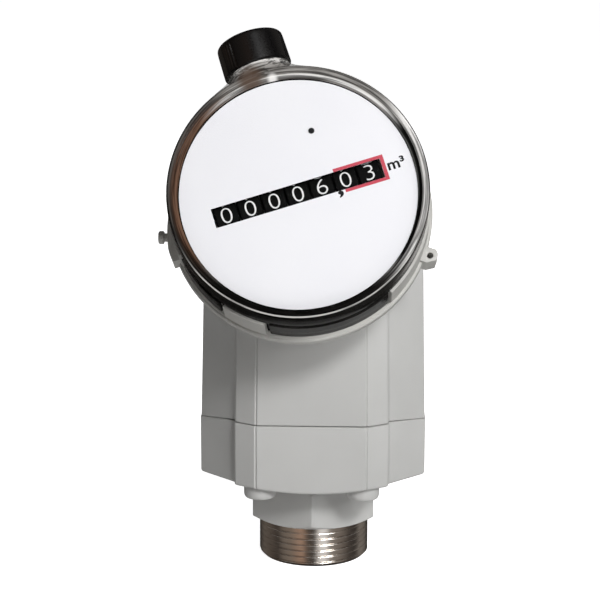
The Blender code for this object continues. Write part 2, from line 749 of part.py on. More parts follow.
def make_rotor(plastic, steel):
    low = ROTOR_BASE
    piece = tube("turbine_wheel", SHAFT_BORE, HUB_RADIUS, low, ROTOR_TOP, plastic)
    middle = (low + ROTOR_TOP) / 2
    half = BLADE_LENGTH / 2
    root_radius = HUB_RADIUS * BLADE_ROOT
    tip_radius = RING_INNER - RUNNING_GAP
    for index in range(BLADE_COUNT):
        loops = []
        for radius, angle in ((root_radius, BLADE_ROOT_ANGLE), (tip_radius, BLADE_TIP_ANGLE)):
            sweep = half * math.tan(math.radians(angle))
            edge = BLADE_THICKNESS / 2 / math.cos(math.radians(angle))
            flat = math.sqrt(radius ** 2 - (sweep + edge) ** 2)
            loops.append([
                (flat, -sweep - edge, middle - half),
                (flat, -sweep + edge, middle - half),
                (flat, sweep + edge, middle + half),
                (flat, sweep - edge, middle + half),
            ])
        blade = loft("blade", loops, plastic)
        join(piece, move(blade, Matrix.Rotation(2 * math.pi * index / BLADE_COUNT, 4, "Z")))
    shade(piece)
    shaft = round_bar("rotor_shaft", ROTOR_SHAFT_RADIUS, SHAFT_BASE,
                      WORM_HEIGHT - WORM_LENGTH / 2 + LAP, steel)
    thread = worm("thread", WORM_RADIUS, WORM_HEIGHT, WORM_MODULE, steel)
    shade(join(shaft, thread))


def make_rotor_bearings(steel, plastic):
    inner = ROTOR_SHAFT_RADIUS + GAP
    low = NOSE_TOP - POCKET_DEPTH + GAP
    shade(tube("lower_bearing", inner, BEARING_RADIUS, low, low + BEARING_LENGTH, steel, None,
               SMALL_SEGMENTS))
    low = HUB_BASE + 2 * GAP
    shade(tube("upper_bearing", inner, BEARING_RADIUS, low, low + BEARING_LENGTH, steel, None,
               SMALL_SEGMENTS))
    radius = HUB_RADIUS - HUB_WALL - GAP
    pocket_top = HUB_BASE + GAP + POCKET_DEPTH
    profile = [
        (POCKET_RADIUS, HUB_BASE + GAP),
        (radius, HUB_BASE + GAP),
        (radius, pocket_top + BEARING_LIP),
        (inner, pocket_top + BEARING_LIP),
        (inner, pocket_top),
        (POCKET_RADIUS, pocket_top),
    ]
    shade(turned("bearing_plate", profile, plastic))


def make_transmission(plastic, steel, neck):
    carrier = round_bar("gear_carrier", GEAR_BORE - GAP, CARRIER_BASE, CARRIER_TOP, plastic, neck,
                        ROUND_SEGMENTS)
    offset = at(TRANSFER_OFFSET, 0.0)
    arm_end = CARRIER_BASE - TUBE_LENGTH
    arm = round_bar("arm", TUBE_RADIUS, arm_end, CARRIER_TOP - LAP, plastic, neck)
    join(carrier, move(arm, offset))
    long_bore = round_bar("bore", ARBOR_BORE, arm_end - OVERRUN, CARRIER_TOP + OVERRUN, plastic, neck)
    cut(carrier, move(long_bore, offset))
    centre_bore = round_bar("bore", ARBOR_BORE, CARRIER_BASE - OVERRUN, CARRIER_TOP + OVERRUN, plastic, neck)
    cut(carrier, centre_bore)
    shade(carrier)
    place = add_axis("transfer_axis", neck, (TRANSFER_OFFSET, 0.0, 0.0))
    wheel_low = -WORM_WHEEL_DEPTH - WORM_WHEEL_WIDTH / 2
    shaft = round_bar("transfer_shaft", ARBOR_RADIUS, wheel_low - SHAFT_END,
                      WHEEL_BASE + GEAR_LENGTH + GAP, steel, place)
    join(shaft, gear("pinion", PINION_TEETH, TRANSFER_MODULE, WHEEL_BASE, WHEEL_BASE + GEAR_LENGTH,
                     steel, place, math.pi))
    join(shaft, gear("worm_wheel", WORM_WHEEL_TEETH, WORM_MODULE, wheel_low,
                     wheel_low + WORM_WHEEL_WIDTH, steel, place))
    shade(shaft)
    centre = round_bar("magnet_shaft", ARBOR_RADIUS, CARRIER_BASE + GAP,
                       DRIVE_MAGNET_TOP + PIVOT_REACH, steel, neck)
    half_tooth = math.pi / WHEEL_TEETH
    join(centre, gear("wheel", WHEEL_TEETH, TRANSFER_MODULE, WHEEL_BASE, WHEEL_BASE + GEAR_LENGTH,
                      steel, neck, half_tooth))
    shade(centre)


def make_coupling(plastic, steel, rubber, magnet, neck, head):
    recess = PLATE_TOP - PLATE_SKIN
    low = PLATE_BASE + (PLATE_LENGTH - SEAL_CORD) / 2 - GAP
    high = low + SEAL_CORD + 2 * GAP
    radius = NECK_BORE - GAP
    groove = NECK_BORE - SEAL_CORD - 2 * GAP
    profile = [
        (PLATE_RECESS, PLATE_BASE),
        (radius, PLATE_BASE),
        (radius, low),
        (groove, low),
        (groove, high),
        (radius, high),
        (radius, PLATE_TOP),
        (0.0, PLATE_TOP),
        (0.0, recess + PIVOT_REACH + GAP),
        (ARBOR_BORE, recess + PIVOT_REACH + GAP),
        (ARBOR_BORE, recess),
        (PLATE_RECESS, recess),
    ]
    shade(turned("pressure_plate", profile, plastic, neck))
    torus("pressure_seal", NECK_BORE - GAP - SEAL_CORD / 2, SEAL_CORD / 2, (low + high) / 2,
          rubber, neck)
    inner = radius - CLAMP_WIDTH
    shade(tube("clamp_ring", inner, radius, PLATE_TOP + GAP, PLATE_TOP + GAP + CLAMP_LENGTH,
               steel, neck))
    shade(tube("drive_magnet", ARBOR_BORE, MAGNET_RADIUS, DRIVE_MAGNET_TOP - MAGNET_LENGTH,
               DRIVE_MAGNET_TOP, magnet, neck))
    shade(tube("follower_magnet", ARBOR_BORE, MAGNET_RADIUS, FOLLOWER_MAGNET_BASE,
               FOLLOWER_MAGNET_BASE + MAGNET_LENGTH, magnet, head))


def make_retaining_clip(steel, neck):
    low = -CLIP_DEPTH - CLIP_SECTION
    clip = tube("retaining_clip", CLIP_INNER, CLIP_OUTER, low, -CLIP_DEPTH, steel, neck)
    mouth = box("mouth", (CLIP_INNER - OVERRUN, -CLIP_MOUTH / 2, low - OVERRUN),
                (CLIP_OUTER + OVERRUN, CLIP_MOUTH / 2, 0.0), steel, neck)
    shade(cut(clip, mouth))


def make_index_cup(grey, head):
    clip_low = -CLIP_DEPTH - CLIP_SECTION - GAP
    clip_high = -CLIP_DEPTH + GAP
    clip_outer = CLIP_OUTER + GAP
    spigot = NECK_BORE - GAP
    collar = NECK_RADIUS + GAP
    spigot_end = PLATE_TOP + CLAMP_LENGTH + 2 * GAP
    profile = [
        (ARBOR_BORE, CUP_FLOOR_HEIGHT),
        (spigot - SPIGOT_WALL, CUP_FLOOR_HEIGHT),
        (spigot - SPIGOT_WALL, spigot_end),
        (spigot, spigot_end),
        (spigot, GAP),
        (collar, GAP),
        (collar, clip_high),
        (clip_outer, clip_high),
        (clip_outer, clip_low),
        (collar, clip_low),
        (collar, -CUP_COLLAR_DEPTH),
        (collar + CUP_COLLAR_WALL, -CUP_COLLAR_DEPTH),
        (collar + CUP_COLLAR_WALL, CUP_FLOOR_HEIGHT),
        (CUP_RADIUS, CUP_FLOOR_HEIGHT),
        (CUP_RIM_RADIUS, CUP_FLOOR_HEIGHT + CUP_RIM_CHAMFER),
        (CUP_RIM_RADIUS, CUP_FLOOR_HEIGHT + CUP_RIM_HEIGHT),
        (CUP_RADIUS, CUP_FLOOR_HEIGHT + CUP_RIM_HEIGHT),
        (CUP_RADIUS, CUP_HEIGHT),
        (CUP_INNER, CUP_HEIGHT),
        (CUP_INNER, FLOOR_TOP),
        (ARBOR_BORE, FLOOR_TOP),
    ]
    cup = turned("index_cup", profile, grey, head, LARGE_SEGMENTS)
    pad_start = PIN_ANGLE - PAD_SPAN / 2
    join(cup, sector("pad", CUP_RADIUS - LAP, PAD_RADIUS, pad_start, pad_start + PAD_SPAN,
                     CUP_FLOOR_HEIGHT + GAP, PIN_HEIGHT + PAD_RISE, grey, head))
    half = LUG_SIZE / 2
    near = CUP_RADIUS - LAP
    far = CUP_RIM_RADIUS + LUG_REACH
    outline = [(near, -half), (far - half, -half), (far, -half / 3), (far, half / 2)]
    outline += [(far - LUG_CORNER, half), (near, half)]
    lug_top = CUP_FLOOR_HEIGHT + LUG_HEIGHT
    lug = prism("lug", outline, CUP_FLOOR_HEIGHT + GAP, lug_top, grey, head)
    join(cup, move(lug, Matrix.Rotation(math.radians(LUG_ANGLE), 4, "Z")))
    hole = round_bar("hole", LUG_HOLE, 0.0, lug_top + OVERRUN, grey, head)
    hole_x, hole_y = polar(CUP_RIM_RADIUS + LUG_HOLE_REACH, math.radians(LUG_ANGLE))
    cut(cup, move(hole, at(hole_x, hole_y)))
    for start, end in NOTCHES:
        cut(cup, sector("notch", CUP_INNER - OVERRUN, CUP_RIM_RADIUS + OVERRUN, start, end,
                        NOTCH_FLOOR, CUP_HEIGHT + OVERRUN, grey, head))
    bore = round_bar("bore", PIN_RADIUS + GAP, CUP_INNER + PIN_SEAT, PAD_RADIUS + OVERRUN, grey, head)
    cut(cup, move(bore, radial(PIN_ANGLE, PIN_HEIGHT)))
    return shade(cup)


def make_sealing_pin(steel, head):
    head_base = PAD_RADIUS + PIN_STANDOFF
    seat = CUP_INNER + PIN_SEAT + GAP
    profile = [
        (0.0, seat),
        (PIN_RADIUS, seat),
        (PIN_RADIUS, head_base),
        (PIN_HEAD_RADIUS * PIN_FACE, head_base),
        (PIN_HEAD_RADIUS, head_base + GAP),
        (PIN_HEAD_RADIUS, head_base + PIN_HEAD_LENGTH - GAP),
        (PIN_HEAD_RADIUS * PIN_FACE, head_base + PIN_HEAD_LENGTH),
        (0.0, head_base + PIN_HEAD_LENGTH),
    ]
    pin = turned("sealing_pin", profile, steel, head, SMALL_SEGMENTS)
    shade(move(pin, radial(PIN_ANGLE, PIN_HEIGHT)))


def flare_loop(reach, half_width, half_depth, height):
    loop = []
    for step in range(ROUND_SEGMENTS):
        angle = 2 * math.pi * step / ROUND_SEGMENTS
        loop.append((half_width * math.cos(angle), reach, height + half_depth * math.sin(angle)))
    return loop


def make_clear_cover(clear, head):
    profile = [
        (0.0, WINDOW_TOP),
        (COVER_INNER - GAP - COVER_RIM, WINDOW_TOP),
        (COVER_INNER - GAP, COVER_HEIGHT),
        (COVER_RADIUS - COVER_EDGE, COVER_HEIGHT),
        (COVER_RADIUS, COVER_HEIGHT - COVER_EDGE),
        (COVER_RADIUS, SHOULDER_HEIGHT),
        (SKIRT_OUTER, SHOULDER_HEIGHT),
        (SKIRT_OUTER, SKIRT_BASE),
        (0.0, SKIRT_BASE),
    ]
    recess = [
        (0.0, WINDOW_TOP),
        (COVER_INNER - GAP - COVER_RIM, WINDOW_TOP),
        (COVER_INNER - GAP, COVER_HEIGHT),
        (COVER_INNER - GAP, COVER_HEIGHT + OVERRUN),
        (0.0, COVER_HEIGHT + OVERRUN),
    ]
    inside = [
        (0.0, SKIRT_BASE - OVERRUN),
        (SKIRT_INNER, SKIRT_BASE - OVERRUN),
        (SKIRT_INNER, SHOULDER_HEIGHT),
        (COVER_INNER, SHOULDER_HEIGHT + SHOULDER_FALL),
        (COVER_INNER, WINDOW_BASE),
        (0.0, WINDOW_BASE),
    ]
    cover = turned("clear_cover", profile, clear, head, LARGE_SEGMENTS)
    for start, end in NOTCHES:
        if start < CAP_ANGLE < end:
            continue
        join(cover, sector("tab", SKIRT_OUTER - LAP, CUP_RADIUS - GAP, start + TAB_SIDE_ANGLE,
                           end - TAB_SIDE_ANGLE, NOTCH_FLOOR + TAB_RISE, CUP_HEIGHT - TAB_DROP,
                           clear, head))
    ring = SPOUT_RADIUS + NECK_LIP
    neck_top = CAP_REACH - GAP
    middle = (SHOULDER_HEIGHT + COVER_HEIGHT) / 2
    shallow = (COVER_HEIGHT - SHOULDER_HEIGHT) / 2 - FLARE_INSET
    loops = []
    for reach, share, swell, drop in FLARE_CURVE:
        loops.append(flare_loop(COVER_INNER + reach * MM, FLARE_HALF * share, shallow + swell * MM,
                                middle - drop * MM))
    loops.append(flare_loop(neck_top - NECK_EDGE, ring + 2 * GAP, ring - LAP, CAP_HEIGHT))
    loops.append(flare_loop(neck_top, ring, ring, CAP_HEIGHT))
    join(cover, loft("flare", loops, clear, head))
    spout_turn = radial(CAP_ANGLE, CAP_HEIGHT)
    spout_end = CAP_REACH + CAP_LENGTH - CAP_WALL - CAP_SEAL
    spout = round_bar("spout", SPOUT_RADIUS, COVER_INNER, spout_end, clear, head, ROUND_SEGMENTS)
    join(cover, move(spout, spout_turn))
    cut(cover, turned("inside", inside, clear, head, LARGE_SEGMENTS))
    cut(cover, turned("recess", recess, clear, head, LARGE_SEGMENTS))
    bore = round_bar("bore", SPOUT_BORE, COVER_INNER - OVERRUN, spout_end + OVERRUN, clear, head,
                     ROUND_SEGMENTS)
    cut(cover, move(bore, spout_turn))
    return shade(cover)


def make_cap(plastic, rubber, head):
    top = CAP_REACH + CAP_LENGTH
    inside = top - CAP_WALL
    inner = CAP_RADIUS - CAP_WALL
    profile = [(inner, CAP_REACH), (CAP_RADIUS, CAP_REACH)]
    profile += [(CAP_RADIUS - inset * MM, top - drop * MM) for inset, drop in CAP_EDGE]
    profile += [(0.0, top), (0.0, inside), (inner, inside)]
    place = add_axis("cap_axis", head, (0.0, 0.0, CAP_HEIGHT))
    turn = radial(CAP_ANGLE, 0.0)
    shade(move(turned("spout_cap", profile, plastic, place, ROUND_SEGMENTS), turn))
    seal_low = inside - CAP_SEAL + GAP
    seal = tube("cap_seal", SPOUT_BORE + GAP, SPOUT_RADIUS, seal_low, inside - GAP, rubber, place)
    shade(move(seal, turn))


def make_dial(white, black, rubber, head):
    low = DIAL_HEIGHT - DIAL_THICKNESS
    dial = round_bar("dial_plate", DIAL_RADIUS, low, DIAL_HEIGHT, white, head, LARGE_SEGMENTS)
    half_length = SLOT_LENGTH / 2
    half_width = SLOT_WIDTH / 2
    cut(dial, box("slot", (-half_length, -half_width, low - OVERRUN),
                  (half_length, half_width, DIAL_HEIGHT + OVERRUN), white, head))
    dot = round_bar("dot", DIAL_DOT_RADIUS, low - OVERRUN, DIAL_HEIGHT + OVERRUN, white, head)
    cut(dial, move(dot, at(DIAL_DOT_X, DIAL_DOT_Y)))
    shade(dial)
    ring_base = SHOULDER_HEIGHT + SHOULDER_FALL + GAP
    ledge = DIAL_RADIUS - LEDGE_WIDTH
    profile = [
        (DIAL_RING_INNER, ring_base),
        (DIAL_RING_OUTER, ring_base),
        (DIAL_RING_OUTER, WINDOW_BASE - GAP),
        (DIAL_RADIUS + GAP, WINDOW_BASE - GAP),
        (DIAL_RADIUS + GAP, LEDGE_TOP),
        (ledge, LEDGE_TOP),
        (ledge, LEDGE_TOP - LEDGE_THICKNESS),
        (DIAL_RING_INNER, LEDGE_TOP - LEDGE_THICKNESS),
    ]
    shade(turned("dial_ring", profile, black, head, LARGE_SEGMENTS))
    shade(tube("cover_seal", SKIRT_INNER, SKIRT_OUTER, FLOOR_TOP + GAP, SKIRT_BASE - GAP,
               rubber, head, LARGE_SEGMENTS))


def make_counter_frame(steel, head):
    frame = round_bar("counter_frame", FRAME_RADIUS, FRAME_HEIGHT, FRAME_TOP, steel, head, FINE_SEGMENTS)
    for x, y in ((0.0, 0.0), (INDEX_WORM_X, INDEX_WORM_Y)):
        hole = round_bar("hole", ARBOR_BORE, FRAME_HEIGHT - OVERRUN, FRAME_TOP + OVERRUN, steel, head)
        cut(frame, move(hole, at(x, y)))
    low_y = ARBOR_Y - CHEEK_LOW_MARGIN
    high_y = CARRY_Y + CHEEK_HIGH_MARGIN
    for side in (-1, 1):
        near, far = sorted((side * CHEEK_X, side * (CHEEK_X + FRAME_SHEET)))
        join(frame, box("cheek", (near, low_y, FRAME_HEIGHT + GAP), (far, high_y, CHEEK_TOP), steel, head))
    for x, y in POST_PLACES:
        post = round_bar("post", POST_RADIUS, FLOOR_TOP + GAP, FRAME_HEIGHT + GAP, steel, head)
        join(frame, move(post, at(x * MM, y * MM)))
    reach = CHEEK_X + FRAME_SHEET + OVERRUN
    for y, z in ((0.0, COUNTER_HEIGHT), (ARBOR_Y, COUNTER_HEIGHT), (CARRY_Y, CARRY_HEIGHT)):
        hole = round_bar("hole", ARBOR_BORE, -reach, reach, steel, head)
        cut(frame, move(hole, along_x(y, z)))
    return shade(frame)


def make_index_drive(plastic, steel, head):
    low = INDEX_GEAR_BASE
    high = low + GEAR_LENGTH
    mesh_angle = math.atan2(INDEX_WORM_Y, INDEX_WORM_X)
    follower = round_bar("follower_shaft", ARBOR_RADIUS, FOLLOWER_MAGNET_BASE + GAP,
                         FRAME_TOP + GAP, steel, head)
    join(follower, gear("pinion", FOLLOWER_TEETH, INDEX_MODULE, low, high, steel, head, mesh_angle))
    shade(follower)
    axis = add_axis("index_worm_axis", head, (INDEX_WORM_X, INDEX_WORM_Y, 0.0))
    thread = worm("thread", INDEX_WORM_RADIUS, COUNTER_HEIGHT, INDEX_WORM_MODULE, plastic, axis)
    worm_base = COUNTER_HEIGHT - WORM_TURNS * math.pi * INDEX_WORM_MODULE / 2
    shaft = round_bar("index_worm", ARBOR_RADIUS, FLOOR_TOP + GAP, worm_base + LAP, steel, axis)
    phase = mesh_angle + math.pi + math.pi / INDEX_GEAR_TEETH
    join(shaft, gear("wheel", INDEX_GEAR_TEETH, INDEX_MODULE, low, high, plastic, axis, phase))
    shade(join(shaft, thread))


def make_counter(black, steel, plastic, head):
    reach = CHEEK_X + FRAME_SHEET + GAP
    counter = add_axis("counter_axis", head, (0.0, 0.0, COUNTER_HEIGHT))
    arbor_axis = add_axis("arbor_axis", head, (0.0, ARBOR_Y, COUNTER_HEIGHT))
    carry_axis = add_axis("carry_axis", head, (0.0, CARRY_Y, CARRY_HEIGHT))
    lay = along_x(0.0, 0.0)
    shade(move(round_bar("counter_shaft", ARBOR_RADIUS, -reach, reach, steel, counter), lay))
    shade(move(round_bar("carry_shaft", CARRY_SHAFT_RADIUS, -reach, reach, steel, carry_axis), lay))
    half = (WHEEL_PITCH - WHEEL_GAP) / 2
    gear_low = WHEEL_COUNT / 2 * WHEEL_PITCH - SIDE_GEAR_LAP
    gear_high = gear_low + SIDE_GEAR_WIDTH
    for number in range(1, WHEEL_COUNT + 1):
        centre = (number - (WHEEL_COUNT + 1) / 2) * WHEEL_PITCH
        wheel = round_bar("number_wheel_%d" % number, WHEEL_RADIUS, centre - half, centre + half,
                          black, counter, ROUND_SEGMENTS)
        if number == WHEEL_COUNT:
            join(wheel, gear("side_gear", COUNTER_TEETH, COUNTER_MODULE, gear_low, gear_high, black,
                             counter, -math.pi / 2))
        cut(wheel, round_bar("bore", ARBOR_BORE, centre - WHEEL_PITCH, centre + WHEEL_PITCH, black,
                             counter))
        shade(move(wheel, lay))
    arbor = round_bar("drive_arbor", ARBOR_RADIUS, -reach, reach, steel, arbor_axis)
    phase = math.pi / 2 + math.pi / ARBOR_TEETH
    join(arbor, gear("pinion", ARBOR_TEETH, COUNTER_MODULE, gear_low + GAP, gear_high - GAP, plastic,
                     arbor_axis, phase))
    wheel_low = INDEX_WORM_X - INDEX_WHEEL_WIDTH / 2
    join(arbor, gear("worm_wheel", INDEX_WHEEL_TEETH, INDEX_WORM_MODULE, wheel_low,
                     wheel_low + INDEX_WHEEL_WIDTH, plastic, arbor_axis))
    shade(move(arbor, lay))
    module = 2 * CARRY_TIP / (CARRY_TEETH + 2 * ADDENDUM)
    for number in range(1, WHEEL_COUNT):
        centre = (number - WHEEL_COUNT / 2) * WHEEL_PITCH
        low = centre - CARRY_WIDTH / 2
        high = centre + CARRY_WIDTH / 2
        pinion = gear("carry_pinion_%d" % number, CARRY_TEETH, module, low, high, plastic, carry_axis)
        cut(pinion, round_bar("bore", CARRY_SHAFT_RADIUS + GAP, low - OVERRUN, high + OVERRUN, plastic,
                              carry_axis))
        shade(move(pinion, lay))


def build():
    clear_scene()
    paint = make_material("painted_casting", (0.48, 0.48, 0.48), 0.5)
    grey = make_material("grey_plastic", (0.56, 0.56, 0.55), 0.5)
    black = make_material("black_plastic", (0.008, 0.008, 0.008), 0.4)
    white = make_material("dial_white", (0.83, 0.83, 0.85), 0.45)
    natural = make_material("natural_plastic", (0.75, 0.73, 0.66), 0.5)
    steel = make_material("steel", (0.55, 0.53, 0.50), 0.3, 1.0)
    magnet = make_material("magnet", (0.12, 0.12, 0.12), 0.5, 0.3)
    rubber = make_material("rubber", (0.015, 0.015, 0.015), 0.8)
    clear = make_material("clear_plastic", (0.9, 0.9, 0.9), 0.05, 0.0, 0.25)
    neck = add_axis("neck_frame", None, (HEAD_OFFSET, -SEAT_REACH, SEAT_HEIGHT))
    neck.rotation_euler = (math.pi / 2 - TILT, 0.0, 0.0)
    head = add_axis("head_frame", neck, (0.0, 0.0, 0.0))
    head.rotation_euler = (0.0, 0.0, math.radians(HEAD_TURN))
    bpy.context.view_layer.update()
    make_inlet_housing(paint)
    make_main_housing(paint, neck)
    make_body_parts(steel, rubber)
    make_flow_straightener(natural)
    make_outlet_body(natural, neck)
    make_rotor(natural, steel)
    make_rotor_bearings(steel, natural)
    make_transmission(natural, steel, neck)
    make_coupling(natural, steel, rubber, magnet, neck, head)
    make_retaining_clip(steel, neck)
    make_index_cup(grey, head)
    make_sealing_pin(steel, head)
    make_clear_cover(clear, head)
    make_cap(black, rubber, head)
    make_dial(white, black, rubber, head)
    make_counter_frame(steel, head)
    make_index_drive(natural, steel, head)
    make_counter(black, steel, natural, head)
    bpy.context.view_layer.update()


build()
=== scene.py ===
# Turbine gas meter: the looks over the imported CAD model. Metres, +Z up along the gas flow,
# and the index looks towards -Y. The head's own frame has x along the counter, y towards
# the cap and z out of the dial.
import json
import math

import bmesh
import bpy
from mathutils import Matrix, Vector


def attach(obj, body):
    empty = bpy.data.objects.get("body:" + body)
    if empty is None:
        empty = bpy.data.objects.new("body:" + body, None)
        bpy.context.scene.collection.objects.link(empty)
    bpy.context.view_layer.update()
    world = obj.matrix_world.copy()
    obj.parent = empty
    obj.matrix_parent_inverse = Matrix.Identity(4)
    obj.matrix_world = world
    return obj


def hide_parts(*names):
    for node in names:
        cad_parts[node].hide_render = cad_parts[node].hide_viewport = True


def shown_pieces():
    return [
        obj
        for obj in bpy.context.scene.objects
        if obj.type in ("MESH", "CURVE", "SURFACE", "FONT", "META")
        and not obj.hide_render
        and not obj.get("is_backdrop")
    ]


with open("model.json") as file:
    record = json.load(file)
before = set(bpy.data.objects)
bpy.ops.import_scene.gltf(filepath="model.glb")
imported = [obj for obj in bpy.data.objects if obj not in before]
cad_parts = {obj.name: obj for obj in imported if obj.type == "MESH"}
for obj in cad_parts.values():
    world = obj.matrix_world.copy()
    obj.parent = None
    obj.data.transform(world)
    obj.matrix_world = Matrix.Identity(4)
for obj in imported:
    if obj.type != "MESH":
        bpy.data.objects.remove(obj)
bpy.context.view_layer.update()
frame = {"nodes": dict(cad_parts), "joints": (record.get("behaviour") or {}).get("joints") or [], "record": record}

mm = 0.001
joints = {joint["name"]: joint for joint in frame["joints"]}

neckOrigin = Vector(joints["head_turn"]["pos_m"])
headNormal = Vector(joints["head_turn"]["axis"]).normalized()
counterDirection = Vector(joints["arbor_spin"]["axis"]).normalized()
meterTop = frame["record"]["mounts"][1]["pos_m"][2]


def frameMatrix(origin, across, normal):
    beside = normal.cross(across)
    columns = Matrix((across, beside, normal)).transposed().to_4x4()
    return Matrix.Translation(origin) @ columns


headMatrix = frameMatrix(neckOrigin, counterDirection, headNormal)
neckMatrix = frameMatrix(neckOrigin, Vector((1, 0, 0)), headNormal)


# Materials

def linearColour(hexCode, alpha=1.0):
    # sRGB hex to the linear values that Blender's sockets take
    channels = [int(hexCode[i:i + 2], 16) / 255 for i in (1, 3, 5)]
    linear = [c / 12.92 if c <= 0.04045 else ((c + 0.055) / 1.055) ** 2.4 for c in channels]
    return (*linear, alpha)


def addNode(material, kind, settings=None, inputs=None):
    # settings are the node's own properties; an input is a value, or another node's socket
    made = material.node_tree.nodes.new(kind)
    for key, value in (settings or {}).items():
        setattr(made, key, value)
    for key, value in (inputs or {}).items():
        if isinstance(value, bpy.types.NodeSocket):
            material.node_tree.links.new(value, made.inputs[key])
        else:
            made.inputs[key].default_value = value
    return made


def newMaterial(name, hexCode, roughness, metallic=0.0, ior=1.5, alpha=1.0):
    material = bpy.data.materials.new(name)
    material.use_nodes = True
    shader = material.node_tree.nodes["Principled BSDF"]
    shader.inputs["Base Color"].default_value = linearColour(hexCode)
    shader.inputs["Roughness"].default_value = roughness
    shader.inputs["Metallic"].default_value = metallic
    shader.inputs["IOR"].default_value = ior
    shader.inputs["Alpha"].default_value = alpha
    return material


def setShader(material, values):
    shader = material.node_tree.nodes["Principled BSDF"]
    for key, value in values.items():
        if isinstance(value, bpy.types.NodeSocket):
            material.node_tree.links.new(value, shader.inputs[key])
        else:
            shader.inputs[key].default_value = value


def fillRamp(node, stops):
    # Stops are (place from 0 to 1, sRGB hex), in order
    band = node.color_ramp
    while len(band.elements) < len(stops):
        band.elements.new(1.0)
    for element, (place, hexCode) in zip(band.elements, stops):
        element.position = place
        element.color = linearColour(hexCode)


def spreadNoise(material, sizeMm, colours=None, roughness=None, bump=None, detail=2.0, stretch=None):
    # Noise of a real size. The colour wanders with it between two hex values and the roughness
    # between two shares, and the surface follows it by a depth in millimetres and a strength
    where = addNode(material, "ShaderNodeTexCoord").outputs["Object"]
    if stretch:
        where = addNode(material, "ShaderNodeMapping", None, {
            "Vector": where, "Scale": stretch}).outputs[0]
    noise = addNode(material, "ShaderNodeTexNoise", None, {
        "Vector": where, "Scale": 1 / (sizeMm * mm), "Detail": detail}).outputs[0]
    inputs = {}
    if colours:
        inputs["Base Color"] = addNode(material, "ShaderNodeMix", {"data_type": "RGBA"}, {
            0: noise, 6: linearColour(colours[0]), 7: linearColour(colours[1])}).outputs[2]
    if roughness:
        inputs["Roughness"] = addNode(material, "ShaderNodeMapRange", None, {
            "Value": noise, "From Min": 0.3, "From Max": 0.7,
            "To Min": roughness[0], "To Max": roughness[1]}).outputs[0]
    if bump:
        inputs["Normal"] = addNode(material, "ShaderNodeBump", None, {
            "Height": noise, "Distance": bump[0] * mm, "Strength": bump[1]}).outputs[0]
    setShader(material, inputs)


# Real grains of a few hundredths of a millimetre are too fine to show, so each is drawn coarser
grain = {"coatPeel": 1.1, "toolRing": 0.5, "mouldGrain": 0.6, "inkMottle": 0.6, "ferriteGrain": 0.5}


def powderCoatedAluminium():
    # Die-cast aluminium under light grey powder coat: satin, with a faint orange peel
    material = newMaterial("powderCoatedAluminium", "#BCBCBA", 0.46)
    spreadNoise(material, grain["coatPeel"], roughness=(0.42, 0.52), bump=(0.02, 0.4))
    spreadNoise(material, 26.0, colours=("#B5B5B3", "#C1C1BF"), detail=3.0)
    return material


def turnedAluminium():
    # Bare aluminium from the lathe: oil-stained, with a bright satin sheen that runs round it
    material = newMaterial("turnedAluminium", "#C2BBB4", 0.2, 1.0)
    spreadNoise(material, grain["toolRing"], roughness=(0.14, 0.26), stretch=(0.05, 0.05, 1))
    spreadNoise(material, 9.0, colours=("#B3AAA2", "#E0DBD5"))
    return material


def mouldedGreyPolycarbonate():
    # Glass-filled polycarbonate from the mould: matt with a fine spark-eroded grain
    material = newMaterial("mouldedGreyPolycarbonate", "#B4B3AF", 0.5)
    spreadNoise(material, grain["mouldGrain"], roughness=(0.45, 0.58), bump=(0.02, 0.4))
    spreadNoise(material, 18.0, colours=("#ABAAA6", "#BDBCB8"))
    return material


def polishedCoverWindow():
    # Clear polycarbonate, polished in the mould: almost nothing but a thin gloss
    material = newMaterial("polishedCoverWindow", "#303030", 0.03, 0.0, 1.58, 0.015)
    spreadNoise(material, 9.0, roughness=(0.02, 0.05))
    return material


# Colours across the cover's edge, as the distance from the dial's centre in millimetres: painted reflection and
# painted shade of the clear wall, with painted highlight bands on the right and low down and painted dark lines
coverEdgePaintedLight = {
    "left": [(39.8, "#7A5D4C"), (41.4, "#5E4537"), (42.3, "#3E322B"), (42.8, "#57524E"),
             (43.25, "#0C0B0A"), (43.62, "#0C0B0A"), (43.75, "#6E655F"), (47.0, "#8A837D")],
    "right": [(39.8, "#50504E"), (40.3, "#10100F"), (41.1, "#141413"), (41.5, "#D6D4D1"),
              (43.15, "#F4F2F0"), (43.45, "#1C1B1A"), (43.62, "#1C1B1A"), (43.75, "#96938F"),
              (47.0, "#A9A6A2")],
    "top": [(39.8, "#7E7B78"), (40.2, "#ECEBE9"), (40.9, "#D9D7D4"), (41.2, "#7A7773"),
            (42.3, "#A09D99"), (43.0, "#807D79"), (43.6, "#5C5956"), (44.3, "#8B8884"),
            (45.6, "#A9A6A2"), (46.5, "#DEDCD9"), (47.4, "#98958F")],
    "low": [(39.8, "#0D0D0C"), (42.6, "#191817"), (42.9, "#1C1B1A"), (43.0, "#C4C2BF"),
            (43.35, "#C4C2BF"), (43.5, "#1F1E1D"), (47.0, "#242322")],
}
# Where each side's painted colours come in and are full, along an axis of the neck's frame, and the painted brown
# reflection and the painted white highlight at the spout's root as (x, y, full within, gone beyond, colour)
paintedLightLook = {
    "sides": {"left": ("X", -21.0, -34.0), "right": ("X", 27.0, 35.0), "low": ("Y", -14.0, -34.0)},
    "paintedSpots": [(-16.6, 38.6, 2.0, 6.0, "#57463B"), (-9.2, 39.0, 0.6, 2.4, "#F4F2F0")],
    "spotShare": 0.85, "streak": 0.7, "streakRun": 1.6, "streakShade": "#8C8C8C",
    "opacity": 0.97, "clearerBy": 0.5, "clearFrom": 33.0, "clearTo": 32.3,
}


